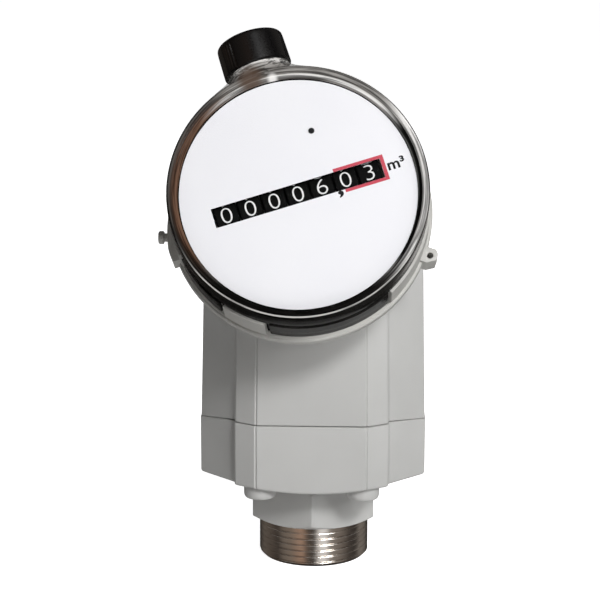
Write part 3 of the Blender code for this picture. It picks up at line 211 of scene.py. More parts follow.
def edgeColours(material, reach):
    # One ramp of painted reflection and painted shade for each side, laid across the edge by the distance from the
    # centre
    colours = {}
    for side, stops in coverEdgePaintedLight.items():
        first = stops[0][0]
        last = stops[-1][0]
        share = addNode(material, "ShaderNodeMapRange", None, {
            "Value": reach, "From Min": first * mm, "From Max": last * mm}).outputs[0]
        ramp = addNode(material, "ShaderNodeValToRGB", None, {"Fac": share})
        fillRamp(ramp, [((place - first) / (last - first), hexCode) for place, hexCode in stops])
        colours[side] = ramp.outputs["Color"]
    return colours


def streakedCoverWall():
    # The cover's thick clear wall, its colour all painted reflection and painted shade: painted streaks that run
    # round it, black painted low down where the dial's ring is behind it, a painted brown reflection on the left,
    # painted highlight bands and grey elsewhere
    look = paintedLightLook
    smooth = {"interpolation_type": "SMOOTHSTEP"}
    material = newMaterial("streakedCoverWall", "#8C8985", 0.1, 0.0, 1.08, look["opacity"])
    where = addNode(material, "ShaderNodeTexCoord").outputs["Object"]
    upright = addNode(material, "ShaderNodeMapping", {"vector_type": "TEXTURE"}, {
        "Vector": where, "Location": neckOrigin, "Rotation": neckMatrix.to_euler()}).outputs[0]
    parts = addNode(material, "ShaderNodeSeparateXYZ", None, {"Vector": upright}).outputs
    flat = addNode(material, "ShaderNodeCombineXYZ", None, {
        "X": parts["X"], "Y": parts["Y"]}).outputs[0]
    reach = addNode(material, "ShaderNodeVectorMath", {"operation": "LENGTH"}, {
        0: flat}).outputs["Value"]
    turn = addNode(material, "ShaderNodeMath", {"operation": "ARCTAN2"}, {
        0: parts["X"], 1: parts["Y"]}).outputs[0]
    slow = addNode(material, "ShaderNodeMath", {"operation": "MULTIPLY"}, {
        0: turn, 1: look["streakRun"] * mm}).outputs[0]
    ringPlace = addNode(material, "ShaderNodeCombineXYZ", None, {
        "X": slow, "Y": reach, "Z": parts["Z"]}).outputs[0]
    streak = addNode(material, "ShaderNodeTexNoise", None, {
        "Vector": ringPlace, "Scale": 1 / (look["streak"] * mm), "Detail": 3.0}).outputs[0]
    sharp = addNode(material, "ShaderNodeMapRange", smooth, {
        "Value": streak, "From Min": 0.38, "From Max": 0.6}).outputs[0]
    # Painted reflection and painted shade, one ramp for each side round the edge
    colours = edgeColours(material, reach)
    colour = colours["top"]
    for side, (axis, start, end) in look["sides"].items():
        share = addNode(material, "ShaderNodeMapRange", smooth, {
            "Value": parts[axis], "From Min": start * mm, "From Max": end * mm}).outputs[0]
        colour = addNode(material, "ShaderNodeMix", {"data_type": "RGBA"}, {
            0: share, 6: colour, 7: colours[side]}).outputs[2]
    # Painted streaks: darker bands drawn into the colour in place of the wall's refraction
    shade = addNode(material, "ShaderNodeMix", {"data_type": "RGBA"}, {
        0: sharp, 6: linearColour(look["streakShade"]), 7: linearColour("#FFFFFF")}).outputs[2]
    colour = addNode(material, "ShaderNodeMix", {"data_type": "RGBA", "blend_type": "MULTIPLY"}, {
        0: 1.0, 6: colour, 7: shade}).outputs[2]
    # A painted brown reflection and a painted white highlight
    for x, y, near, far, hexCode in look["paintedSpots"]:
        offset = addNode(material, "ShaderNodeVectorMath", {"operation": "DISTANCE"}, {
            0: flat, 1: (x * mm, y * mm, 0)}).outputs["Value"]
        inSpot = addNode(material, "ShaderNodeMapRange", smooth, {
            "Value": offset, "From Min": far * mm, "From Max": near * mm,
            "To Max": look["spotShare"]}).outputs[0]
        colour = addNode(material, "ShaderNodeMix", {"data_type": "RGBA"}, {
            0: inSpot, 6: colour, 7: linearColour(hexCode)}).outputs[2]
    sheen = addNode(material, "ShaderNodeMapRange", None, {
        "Value": streak, "From Min": 0.3, "From Max": 0.7, "To Min": 0.06, "To Max": 0.16}).outputs[0]
    # Behind its front edge the wall is clear enough to see into, but not in the low part, which
    # is the last side of the loop
    behind = addNode(material, "ShaderNodeMapRange", smooth, {
        "Value": parts["Z"], "From Min": look["clearFrom"] * mm, "From Max": look["clearTo"] * mm,
        "To Max": -look["clearerBy"]}).outputs[0]
    notLow = addNode(material, "ShaderNodeMath", {"operation": "SUBTRACT"}, {
        0: 1.0, 1: share}).outputs[0]
    opacity = addNode(material, "ShaderNodeMath", {"operation": "MULTIPLY_ADD"}, {
        0: behind, 1: notLow, 2: look["opacity"]}).outputs[0]
    setShader(material, {"Base Color": colour, "Roughness": sheen, "Alpha": opacity})
    return material


def mouldedBlackPolyamide(name, hexCode, roughness, ior):
    # Black polyamide from the mould: a soft sheen over a very fine grain
    material = newMaterial(name, hexCode, roughness, 0.0, ior)
    spreadNoise(material, grain["mouldGrain"], roughness=(roughness - 0.05, roughness + 0.07),
                bump=(0.006, 0.3))
    return material


def screenPrintedDial():
    # White lacquered aluminium sheet: even, slightly cool, with a low gloss
    material = newMaterial("screenPrintedDial", "#F0F0F4", 0.42)
    spreadNoise(material, 30.0, colours=("#ECECF1", "#F3F3F6"))
    return material


def printedInk(name, hexCode):
    # Screen ink on the dial: flat, with a faint mottle in its gloss
    material = newMaterial(name, hexCode, 0.5, 0.0, 1.2)
    spreadNoise(material, grain["inkMottle"], roughness=(0.42, 0.6))
    return material


def mouldedAcetal():
    # Natural acetal: creamy white and waxy
    material = newMaterial("mouldedAcetal", "#E2DED2", 0.38, 0.0, 1.48)
    spreadNoise(material, 8.0, colours=("#D8D3C5", "#ECE9E0"), roughness=(0.32, 0.44))
    return material


def turnedSteel():
    # Turned stainless steel: grey, with fine tool marks
    material = newMaterial("turnedSteel", "#B9B4AC", 0.28, 1.0)
    spreadNoise(material, grain["toolRing"], roughness=(0.2, 0.36), bump=(0.02, 0.4))
    return material


def sinteredFerrite():
    # Pressed and sintered ferrite: charcoal, dull and grainy
    material = newMaterial("sinteredFerrite", "#3A3A3C", 0.55)
    spreadNoise(material, grain["ferriteGrain"], colours=("#28282A", "#4E4E51"), bump=(0.03, 0.5),
                detail=3.0)
    return material


def nitrileRubber():
    # Nitrile rubber: near black and dull
    material = newMaterial("nitrileRubber", "#1B1B1C", 0.75)
    spreadNoise(material, grain["mouldGrain"], roughness=(0.68, 0.85))
    return material


paint = powderCoatedAluminium()
bareMetal = turnedAluminium()
greyPlastic = mouldedGreyPolycarbonate()
coverWindow = polishedCoverWindow()
# The cover wall's colour is painted reflection and painted shade
coverWallPaintedLight = streakedCoverWall()
blackPlastic = mouldedBlackPolyamide("mouldedBlackPolyamide", "#020203", 0.3, 1.41)
drumPlastic = mouldedBlackPolyamide("mouldedDrumBlack", "#0B0B0B", 0.6, 1.12)
dialWhite = screenPrintedDial()
blackInk = printedInk("blackScreenInk", "#1E1E20")
redInk = printedInk("redScreenInk", "#C9505F")
whiteInk = printedInk("whiteDrumInk", "#EDEDED")
acetal = mouldedAcetal()
steel = turnedSteel()
ferrite = sinteredFerrite()
rubber = nitrileRubber()
print("materials made")


# Mesh tools

def makePiece(name, points, faces, material, body, slot, matrix=None, sharpAngle=35):
    mesh = bpy.data.meshes.new(name)
    mesh.from_pydata([tuple(point) for point in points], [], faces)
    piece = bpy.data.objects.new(name, mesh)
    bpy.context.scene.collection.objects.link(piece)
    mesh.materials.append(material)
    piece.matrix_world = matrix or Matrix.Identity(4)
    fixNormals(piece, sharpAngle)
    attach(piece, body)
    return piece


def fixNormals(piece, sharpAngle=35):
    work = bmesh.new()
    work.from_mesh(piece.data)
    bmesh.ops.recalc_face_normals(work, faces=work.faces)
    work.to_mesh(piece.data)
    work.free()
    piece.data.shade_smooth()
    piece.data.set_sharp_from_angle(angle=math.radians(sharpAngle))


def stackRows(rows, closed=True, caps=False):
    # Rows have the same number of points, and each is a closed ring
    count = len(rows[0])
    points = [point for row in rows for point in row]
    faces = []
    for index in range(len(rows) if closed else len(rows) - 1):
        low = index * count
        high = (index + 1) % len(rows) * count
        for column in range(count):
            beside = (column + 1) % count
            faces.append((low + column, low + beside, high + beside, high + column))
    if caps:
        faces.append(tuple(range(count)))
        faces.append(tuple(range(len(points) - count, len(points))))
    return points, faces


def turnedRows(profile, segments=128):
    angles = [2 * math.pi * step / segments for step in range(segments)]
    return [[(radius * math.cos(a), radius * math.sin(a), height) for a in angles]
            for radius, height in profile]


def turnedPiece(name, profile, material, body, slot, matrix=None, segments=128, sharpAngle=35):
    # The profile is a closed outline of (radius, height) in millimetres, clear of the axis
    scaled = [(radius * mm, height * mm) for radius, height in profile]
    points, faces = stackRows(turnedRows(scaled, segments))
    return makePiece(name, points, faces, material, body, slot, matrix, sharpAngle)


def roundedCorners(corners, steps=5):
    # Corners are (x, y, radius); each gets an arc that touches both of its sides
    outline = []
    for index, (x, y, radius) in enumerate(corners):
        corner = Vector((x, y))
        before = Vector(corners[index - 1][:2]) - corner
        after = Vector(corners[(index + 1) % len(corners)][:2]) - corner
        if radius <= 0:
            outline.append((x, y))
            continue
        half = before.angle(after) / 2
        reach = min(radius / math.tan(half), before.length * 0.45, after.length * 0.45)
        start = corner + before.normalized() * reach
        end = corner + after.normalized() * reach
        for step in range(steps + 1):
            share = step / steps
            bend = start.lerp(corner, share).lerp(corner.lerp(end, share), share)
            outline.append((bend.x, bend.y))
    return outline


def rayRadius(outline, angle):
    # How far a ray from the centre runs before it meets the outline
    direction = Vector((math.cos(angle), math.sin(angle)))
    best = 0.0
    for index, end in enumerate(outline):
        start = Vector(outline[index - 1])
        side = Vector(end) - start
        spread = direction.x * side.y - direction.y * side.x
        if abs(spread) < 1e-12:
            continue
        reach = (start.x * side.y - start.y * side.x) / spread
        along = (start.x * direction.y - start.y * direction.x) / spread
        if reach > 0 and -1e-6 <= along <= 1 + 1e-6:
            best = max(best, reach)
    return best


def combineMesh(target, tool, operation):
    modifier = target.modifiers.new(operation, "BOOLEAN")
    modifier.operation = operation
    modifier.solver = "MANIFOLD"
    modifier.object = tool
    keepModified(target)
    bpy.data.objects.remove(tool, do_unlink=True)


def keepModified(piece):
    bpy.context.view_layer.update()
    graph = bpy.context.evaluated_depsgraph_get()
    result = bpy.data.meshes.new_from_object(piece.evaluated_get(graph))
    piece.modifiers.clear()
    piece.data = result


def roundEdges(piece, widthMm, segments=3, angle=30):
    modifier = piece.modifiers.new("edges", "BEVEL")
    modifier.width = widthMm * mm
    modifier.segments = segments
    modifier.limit_method = "ANGLE"
    modifier.angle_limit = math.radians(angle)
    modifier.use_clamp_overlap = True
    keepModified(piece)
    fixNormals(piece)


def looseTool(name, rows, matrix, material):
    points, faces = stackRows(rows, closed=False, caps=True)
    mesh = bpy.data.meshes.new(name)
    mesh.from_pydata(points, [], faces)
    mesh.materials.append(material)
    tool = bpy.data.objects.new(name, mesh)
    bpy.context.scene.collection.objects.link(tool)
    tool.matrix_world = matrix
    fixNormals(tool)
    return tool


# Castings: sizes in millimetres and degrees, as in every dictionary but the studio's

casting = {
    "bodyHalf": 42.0, "panelHalf": 20.2, "blockHalf": 28.3, "blockChamfer": 5.0, "blockStep": 3.0,
    "base": 37.0, "seam": 61.0, "gap": 0.3, "top": 143.0, "draft": 1.5, "edge": 1.2,
    "scribeIn": 0.45, "scribeOut": 0.5, "scribeDepth": 0.5, "chamferSink": 0.3,
    "arch": 1.7, "seamDrop": 2.2, "seamEdge": 0.35, "seamInset": 0.3,
    "hexFlats": 46.0, "hexBase": 15.8, "hexTop": 30.4, "hexChamfer": 2.0, "foot": 2.4,
    "collar": 21.5, "fillet": 1.4,
    "bore": 13.0, "chamber": 30.0, "shoulder": 27.8, "lowerBoreEnd": 28.2, "chamberFloor": 44.0,
    "chamberTop": 112.3, "throatTop": 118.0, "upperBoreEnd": 142.0,
}
neck = {"radius": 22.0, "root": -26.0, "socket": 17.0, "socketFloor": -9.0, "throat": 15.5,
        "throatFloor": -20.3, "bore": 2.0, "grooveRadius": 20.8, "grooveLow": -6.2,
        "grooveHigh": -4.2, "edge": 0.4}


def bodyOutline():
    # Octagon with a raised block in front and at the back, with a scribed line at its corner
    half = casting["bodyHalf"]
    panel = casting["panelHalf"]
    block = casting["blockHalf"]
    sink = casting["chamferSink"]
    chamferEnd = half - casting["blockChamfer"]
    stepEnd = chamferEnd - casting["blockStep"]
    quarter = [
        (panel - casting["scribeIn"], -half, 0.3),
        (panel, casting["scribeDepth"] - half, 0.0),
        (panel + casting["scribeOut"], sink - half, 0.4),
        (block, -chamferEnd, 1.6),
        (block, -stepEnd, 2.2),
        (half, -panel, 1.6),
    ]
    right = quarter + [(x, -y, radius) for x, y, radius in reversed(quarter)]
    return roundedCorners(right + [(-x, y, radius) for x, y, radius in reversed(right)])


def hexOutline():
    corner = casting["hexFlats"] / 2 / math.cos(math.pi / 6)
    corners = []
    for side in range(6):
        angle = math.radians(30 + 60 * side)
        corners.append((corner * math.cos(angle), corner * math.sin(angle), 0.9))
    return roundedCorners(corners)


bodyShape = bodyOutline()
hexShape = hexOutline()
castingAngles = sorted(
    [math.atan2(y, x) for x, y in bodyShape + hexShape]
    + [math.radians(3 * step - 180) for step in range(120)])
bodyReach = [rayRadius(bodyShape, angle) for angle in castingAngles]
hexReach = [rayRadius(hexShape, angle) for angle in castingAngles]


def castingRow(reach, height, bend=None):
    # The bend adds its own height at each angle
    lifts = bend or [0.0] * len(castingAngles)
    return [(r * mm * math.cos(a), r * mm * math.sin(a), (height + lift) * mm)
            for r, a, lift in zip(reach, castingAngles, lifts)]


def circleRow(radius, height):
    return castingRow([radius] * len(castingAngles), height)


def bodyRow(inset, height, bend=None):
    share = 1 - inset / casting["bodyHalf"]
    return castingRow([r * share for r in bodyReach], height, bend)


def hexRow(limit, height):
    return castingRow([min(r, limit) for r in hexReach], height)


def archedEdge():
    # The casting's bottom edge hangs lower in the middle of its front and its back
    lifts = []
    for r, a in zip(bodyReach, castingAngles):
        across = abs(r * math.cos(a)) / casting["panelHalf"]
        flat = abs(r * math.sin(a)) > casting["bodyHalf"] - 1
        lifts.append(-casting["arch"] * (1 - across ** 2) if flat and across < 1 else 0.0)
    return lifts


def seamDrop(depth):
    # The parting line runs lower on the panels beside the raised blocks
    start = casting["blockHalf"]
    lifts = []
    for r, a in zip(bodyReach, castingAngles):
        share = (abs(r * math.cos(a)) - start) / (casting["bodyHalf"] - start)
        lifts.append(-depth * min(1.0, max(0.0, share)))
    return lifts


def spannerRows():
    # From the thread's root to the collar, as heights above the thread's end face
    base = casting["hexBase"]
    top = casting["hexTop"]
    flat = casting["hexFlats"] / 2
    start = flat + 0.1
    corner = flat / math.cos(math.pi / 6)
    collar = casting["collar"]
    rows = [circleRow(casting["bore"], base), circleRow(flat - casting["foot"], base)]
    rows.append(hexRow(start, base))
    for step in range(1, 7):
        share = step / 6
        rows.append(hexRow(start + (corner - flat) * share, base + casting["hexChamfer"] * share))
    rows += [hexRow(corner, top - 0.5), hexRow(corner - 0.5, top - 0.1)]
    rows += [circleRow(collar + 1.2, top), circleRow(collar + 0.3, top + 0.4)]
    return rows + [circleRow(collar, top + casting["fillet"])]


def edgeRows(inset, height, towards, radius, bend=None):
    # A rounded rim between a flat end and the draughted wall
    rows = []
    for step in range(5):
        angle = math.pi / 2 * step / 4
        rows.append(bodyRow(inset + radius * (1 - math.sin(angle)),
                            height + towards * radius * (1 - math.cos(angle)), bend))
    return rows


def collarRows(height, towards):
    # The fillet where a collar meets the body's flat end, from the body to the collar
    collar = casting["collar"]
    fillet = casting["fillet"]
    return [circleRow(collar + fillet, height), circleRow(collar + 0.4, height + 0.4 * towards),
            circleRow(collar, height + fillet * towards)]


def lowerCastingRows():
    base = casting["base"]
    seam = casting["seam"]
    chamber = casting["chamber"]
    floor = casting["chamberFloor"]
    drop = seamDrop(casting["seamDrop"])
    rows = spannerRows() + list(reversed(collarRows(base, -1)))
    rows += edgeRows(0.0, base, 1, casting["edge"], archedEdge())
    rows += list(reversed(edgeRows(0.0, seam, -1, casting["seamEdge"], drop)))
    rows += [circleRow(chamber, seam), circleRow(chamber, floor)]
    rows += [circleRow(casting["shoulder"], floor)]
    return rows + [circleRow(casting["bore"], casting["lowerBoreEnd"])]


def upperCastingRows():
    seam = casting["seam"] + casting["gap"]
    top = casting["top"]
    inset = (top - seam) * math.tan(math.radians(casting["draft"]))
    chamber = casting["chamber"]
    ceiling = casting["chamberTop"]
    drop = seamDrop(casting["seamDrop"] + casting["gap"] - 0.1)
    rows = [circleRow(casting["shoulder"], ceiling), circleRow(chamber, ceiling)]
    rows += [circleRow(chamber, seam)]
    rows += edgeRows(casting["seamInset"], seam, 1, casting["seamEdge"], drop)
    rows += list(reversed(edgeRows(inset, top, -1, casting["edge"])))
    rows += collarRows(top, 1)
    for row in reversed(spannerRows()):
        rows.append([(x, y, meterTop - z) for x, y, z in row])
    rows += [circleRow(casting["bore"], casting["upperBoreEnd"])]
    return rows + [circleRow(casting["shoulder"], casting["throatTop"])]


def neckProfile():
    # The neck's tube, with the groove that the head's clip runs in, below its open end at 0
    radius = neck["radius"]
    groove = neck["grooveRadius"]
    return [
        (radius, neck["root"]), (radius, neck["grooveLow"]), (groove, neck["grooveLow"]),
        (groove, neck["grooveHigh"]), (radius, neck["grooveHigh"]), (radius, -neck["edge"]),
        (radius - neck["edge"], 0.0), (neck["socket"], 0.0), (neck["socket"], neck["socketFloor"]),
        (neck["throat"], neck["socketFloor"]), (neck["throat"], neck["throatFloor"]),
        (neck["bore"], neck["throatFloor"]), (neck["bore"], neck["root"]),
    ]


def makeCastings():
    lower = makePiece("lowerCasting", *stackRows(lowerCastingRows()), paint, "meter_body",
                      "painted_casting", None, 28)
    upper = makePiece("upperCasting", *stackRows(upperCastingRows()), paint, "meter_body",
                      "painted_casting", None, 28)
    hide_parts("inlet_housing")
    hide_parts("main_housing")
    turnedPiece("neckTube", neckProfile(), paint, "meter_body", "painted_casting", neckMatrix)


pillow = {"radius": 6.0, "drop": 5.0, "x": 19.0, "y": 33.2, "headHole": 4.3, "shankHole": 2.6,
          "flatShare": 0.84, "edgeHeight": 1.8, "sink": 0.6}
screw = {"headRadius": 4.0, "headHeight": 3.8, "shank": 2.3, "socket": 2.2, "socketDepth": 2.0,
         "pastSeam": 12.0, "edge": 0.5, "columns": 48}


def makePillows():
    base = casting["base"]
    low = base - pillow["drop"]
    radius = pillow["radius"]
    flat = pillow["flatShare"]
    shank = pillow["shankHole"]
    inside = base + pillow["sink"]
    seat = low + screw["headHeight"] + pillow["sink"]
    profile = [(pillow["headHole"], low), (radius * flat, low)]
    for step in range(1, 7):
        angle = math.pi / 2 * step / 6
        profile.append((radius * (flat + (1 - flat) * math.sin(angle)),
                        low + pillow["edgeHeight"] * (1 - math.cos(angle))))
    profile += [(radius, inside), (shank, inside), (shank, seat), (pillow["headHole"], seat)]
    places = [(x, y) for x in (-pillow["x"], pillow["x"]) for y in (-pillow["y"], pillow["y"])]
    for number, (x, y) in enumerate(places, 1):
        place = Matrix.Translation((x * mm, y * mm, 0))
        turnedPiece("screwPillow%d" % number, profile, paint, "meter_body", "painted_casting",
                    place, 48)
        makeScrew(number, place, low + casting["gap"])


def makeScrew(number, place, low):
    # Socket cap screw: a hexagon socket, a rounded head and a plain shank
    head = screw["headRadius"]
    shank = screw["shank"]
    edge = screw["edge"]
    top = low + screw["headHeight"]
    count = screw["columns"]
    socket = []
    for step in range(count):
        angle = 2 * math.pi * step / count
        facet = (angle + math.pi / 6) % (math.pi / 3) - math.pi / 6
        socket.append((screw["socket"] * math.cos(math.pi / 6) / math.cos(facet), angle))
    deep = low + screw["socketDepth"]
    rows = [[(r * f * mm * math.cos(a), r * f * mm * math.sin(a), z * mm) for r, a in socket]
            for f, z in ((0.05, deep), (1.0, deep), (1.0, low))]
    end = casting["seam"] + screw["pastSeam"]
    profile = [(head - edge, low), (head, low + edge), (head, top), (shank, top),
               (shank, end - edge), (shank - edge, end), (0.1, end)]
    rows += turnedRows([(r * mm, z * mm) for r, z in profile], count)
    piece = makePiece("capScrew%d" % number, *stackRows(rows, False, True), steel, "meter_body",
                      "steel", place)
    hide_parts("housing_screw_%d" % number)


# The thread is G 1 1/4, with its groove drawn as shallow and as wide as the photographed one
thread = {"crest": 20.955, "bore": 13.0, "pitch": 2.309, "depth": 0.42, "length": 15.8,
          "runOut": (12.6, 13.8), "chamfer": 1.2, "columns": 160, "rowStep": 0.12}


def threadRadius(height, angle):
    phase = height / thread["pitch"] - angle / (2 * math.pi)
    groove = max(0.0, math.cos(2 * math.pi * phase)) ** 5
    start, end = thread["runOut"]
    fade = min(1.0, max(0.0, (end - height) / (end - start)))
    radius = thread["crest"] - thread["depth"] * groove * fade
    return min(radius, thread["crest"] - thread["chamfer"] + height)


def makeThread(name, place):
    count = thread["columns"]
    bore = thread["bore"]
    steps = round(thread["length"] / thread["rowStep"])
    rows = turnedRows([(bore * mm, 0)], count)
    for step in range(steps + 1):
        height = thread["length"] * step / steps
        row = []
        for column in range(count):
            angle = 2 * math.pi * column / count
            radius = threadRadius(height, angle) * mm
            row.append((radius * math.cos(angle), radius * math.sin(angle), height * mm))
        rows.append(row)
    rows += turnedRows([(bore * mm, thread["length"] * mm)], count)
    makePiece(name, *stackRows(rows), bareMetal, "meter_body", "painted_casting", place, 50)


makeCastings()
makePillows()
makeThread("lowerThread", Matrix.Identity(4))
makeThread("upperThread", Matrix.Translation((0, 0, meterTop)) @ Matrix.Rotation(math.pi, 4, "X"))
print("castings made")


# Index head: heights run along the head's axis, from the neck's open end

cup = {
    "radius": 44.6, "rim": 45.6, "inner": 42.9, "floor": 1.6, "floorTop": 4.0, "rimTop": 6.5,
    "top": 21.0, "notchFloor": 6.9, "collar": 26.5, "collarDepth": -8.0, "collarInner": 22.3,
    "collarFloor": 0.3, "spigot": 16.7, "spigotInner": 14.5, "spigotEnd": -1.9, "boss": 1.5,
    "notches": ((-172.0, -142.0), (-122.0, -63.0), (-14.0, 36.0), (62.0, 118.0)),
    "notchEdge": 0.05, "columnStep": 1.5,
}


def cupProfile(wallTop):
    radius = cup["radius"]
    rim = cup["rim"]
    floor = cup["floor"]
    spigot = cup["spigot"]
    collar = cup["collar"]
    return [
        (cup["boss"], floor), (cup["spigotInner"], floor), (cup["spigotInner"], cup["spigotEnd"]),
        (spigot, cup["spigotEnd"]), (spigot, cup["collarFloor"]),
        (cup["collarInner"], cup["collarFloor"]), (cup["collarInner"], cup["collarDepth"]),
        (collar - 0.5, cup["collarDepth"]), (collar, cup["collarDepth"] + 0.5),
        (collar, floor - 1.2), (collar + 0.4, floor - 0.35), (collar + 1.2, floor),
        (rim - 1.3, floor), (rim - 0.4, floor + 0.35), (rim, floor + 1.2),
        (rim, cup["rimTop"] - 0.4), (rim - 0.4, cup["rimTop"]), (radius, cup["rimTop"]),
        (radius, wallTop - 0.2), (radius - 0.2, wallTop), (cup["inner"] + 0.2, wallTop),
        (cup["inner"], wallTop - 0.2), (cup["inner"], cup["floorTop"]),
        (cup["boss"], cup["floorTop"]),
    ]


def makeCup():
    # Columns round the axis; a window's edge has two of them a hair apart
    hair = cup["notchEdge"]
    count = round(360 / cup["columnStep"])
    columns = [(step * cup["columnStep"] - 180, False) for step in range(count)]
    for start, end in cup["notches"]:
        columns = [(angle, low or start < angle < end) for angle, low in columns]
        columns += [(start - hair, False), (start + hair, True)]
        columns += [(end - hair, True), (end + hair, False)]
    columns.sort()
    rows = []
    for angle, low in columns:
        across = mm * math.cos(math.radians(angle))
        along = mm * math.sin(math.radians(angle))
        profile = cupProfile(cup["notchFloor"] if low else cup["top"])
        rows.append([(r * across, r * along, h * mm) for r, h in profile])
    piece = makePiece("indexCup", *stackRows(rows), greyPlastic, "index_head", "grey_plastic",
                      headMatrix)
    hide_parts("index_cup")


lug = {"angle": -36.8, "size": 5.4, "low": -3.0, "high": 7.8, "hole": 1.1, "holeReach": 1.6,
       "reach": 4.0, "edge": 0.35}
pad = {"angle": 173.2, "span": 26.0, "outer": 47.2, "low": 1.9, "high": 11.0, "taper": 0.8,
       "start": 0.03, "steps": 16, "edge": 0.6}
pin = {"radius": 1.5, "head": 2.3, "length": 2.1, "height": 6.0, "lean": -11.0, "root": 3.0,
       "neck": 0.5}


def prismPiece(name, outline, low, high, matrix):
    rows = [[(x * mm, y * mm, z * mm) for x, y in outline] for z in (low, high)]
    return makePiece(name, *stackRows(rows, False, True), greyPlastic, "index_head",
                     "grey_plastic", matrix)


def makeLug():
    half = lug["size"] / 2
    near = cup["radius"] - 1.0
    far = cup["rim"] + lug["reach"]
    outline = [(near, -half), (far - half, -half), (far, -half / 3), (far, half / 2),
               (far - 1, half), (near, half)]
    place = headMatrix @ Matrix.Rotation(math.radians(lug["angle"]), 4, "Z")
    ear = prismPiece("sealLug", outline, lug["low"], lug["high"], place)
    hole = turnedRows([(lug["hole"] * mm, (lug["low"] - 5) * mm),
                       (lug["hole"] * mm, (lug["high"] + 5) * mm)], 32)
    holePlace = place @ Matrix.Translation(((cup["rim"] + lug["holeReach"]) * mm, 0, 0))
    combineMesh(ear, looseTool("lugHole", hole, holePlace, greyPlastic), "DIFFERENCE")
    roundEdges(ear, lug["edge"])


def makePad():
    # Stands proud of the cup's wall, blunt at its lower end and fading out at the upper one
    steps = pad["steps"]
    outline = []
    arc = []
    for step in range(steps + 1):
        angle = math.radians(pad["angle"] + pad["span"] * (step / steps - 0.5))
        proud = min(1.0, pad["start"] + step / (steps * pad["taper"]))
        reach = cup["radius"] + (pad["outer"] - cup["radius"]) * proud
        outline.append((reach * math.cos(angle), reach * math.sin(angle)))
        arc.append(angle)
    inner = cup["inner"] + 1.0
    outline += [(inner * math.cos(a), inner * math.sin(a)) for a in reversed(arc)]
    block = prismPiece("sealPad", outline, pad["low"], pad["high"], headMatrix)
    roundEdges(block, pad["edge"])


def makePin():
    reach = pad["outer"]
    head = pin["head"]
    neckEnd = reach + pin["neck"]
    top = reach + pin["length"]
    profile = [(0.05, reach - pin["root"]), (pin["radius"], reach - pin["root"]),
               (pin["radius"], neckEnd), (head - 0.3, neckEnd), (head, neckEnd + 0.3), (head, top),
               (head - 0.5, top + 0.4), (0.05, top + 0.4)]
    side = Matrix.Rotation(math.radians(pad["angle"]), 4, "Z") \
        @ Matrix.Translation((reach * mm, 0, pin["height"] * mm)) \
        @ Matrix.Rotation(math.radians(pin["lean"]), 4, "Z") \
        @ Matrix.Translation((-reach * mm, 0, 0)) @ Matrix.Rotation(math.pi / 2, 4, "Y")
    piece = turnedPiece("sealingPin", profile, greyPlastic, "index_head", "steel",
                        headMatrix @ side, 40)
    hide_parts("sealing_pin")


cover = {
    "radius": 43.8, "height": 34.0, "wall": 1.8, "rim": 0.8, "window": 2.0, "shoulder": 21.6,
    "skirtOuter": 42.6, "skirtBase": 8.5, "tabLow": 8.9, "tabHigh": 21.4, "tabGap": 2.0,
    "flareHalf": 21.0, "capHeight": 25.0, "capReach": 46.9, "spout": 9.55, "bore": 7.5,
    "spoutEnd": 54.8, "spoutRing": 1.4, "segments": 144, "clearRadius": 39.8, "clearDrop": 0.8,
}
# The cap's axis runs out of the cover's side, towards the head's y
towardsCap = headMatrix @ Matrix.Translation((0, 0, cover["capHeight"] * mm)) \
    @ Matrix.Rotation(math.pi / 2, 4, "Z") @ Matrix.Rotation(math.pi / 2, 4, "Y")


def turnedTool(name, profile, matrix, segments):
    # A closed solid of revolution for a boolean, as (radius, height) in millimetres
    rows = turnedRows([(r * mm, h * mm) for r, h in profile], segments)
    return looseTool(name, rows, matrix, coverWallPaintedLight)


def coverBlank():
    # The cover before it is hollowed. Its clear disc sits a little low, as in the photograph
    inner = cover["radius"] - cover["wall"]
    outer = cover["radius"]
    height = cover["height"]
    windowTop = height - cover["rim"]
    shoulder = cover["shoulder"]
    skirt = cover["skirtOuter"]
    base = cover["skirtBase"]
    profile = [(0.02, windowTop), (cover["clearRadius"], windowTop), (inner - 1.3, windowTop),
               (inner - 0.9, windowTop + 0.1), (inner - 0.35, height - 0.15), (inner, height),
               (outer - 0.9, height), (outer - 0.3, height - 0.25), (outer, height - 0.9),
               (outer, shoulder), (skirt, shoulder), (skirt, base), (0.02, base)]
    rows = turnedRows([(r * mm, h * mm) for r, h in profile], cover["segments"])
    drop = headMatrix.to_3x3().inverted() @ Vector((0, 0, -cover["clearDrop"] * mm))
    rows[1] = [(x + drop.x, y + drop.y, z) for x, y, z in rows[1]]
    return makePiece("clearCover", *stackRows(rows), coverWallPaintedLight, "index_head", "clear_plastic",
                     headMatrix)


def addTabs(piece):
    # One in each window of the cup, but for the window under the flare
    near = cover["skirtOuter"] - 1
    far = cup["radius"] - 0.3
    for start, end in cup["notches"]:
        if start < 90 < end:
            continue
        first = start + cover["tabGap"]
        span = end - start - 2 * cover["tabGap"]
        arc = [math.radians(first + span * step / 24) for step in range(25)]
        outline = [(far * math.cos(a), far * math.sin(a)) for a in arc]
        outline += [(near * math.cos(a), near * math.sin(a)) for a in reversed(arc)]
        rows = [[(x * mm, y * mm, z * mm) for x, y in outline]
                for z in (cover["tabLow"], cover["tabHigh"])]
        combineMesh(piece, looseTool("tab", rows, headMatrix, coverWallPaintedLight), "UNION")


def flareRow(reach, halfWidth, halfDepth, height, count=48):
    angles = [2 * math.pi * step / count for step in range(count)]
    return [(halfWidth * mm * math.cos(a), reach * mm, (height + halfDepth * math.sin(a)) * mm)
            for a in angles]


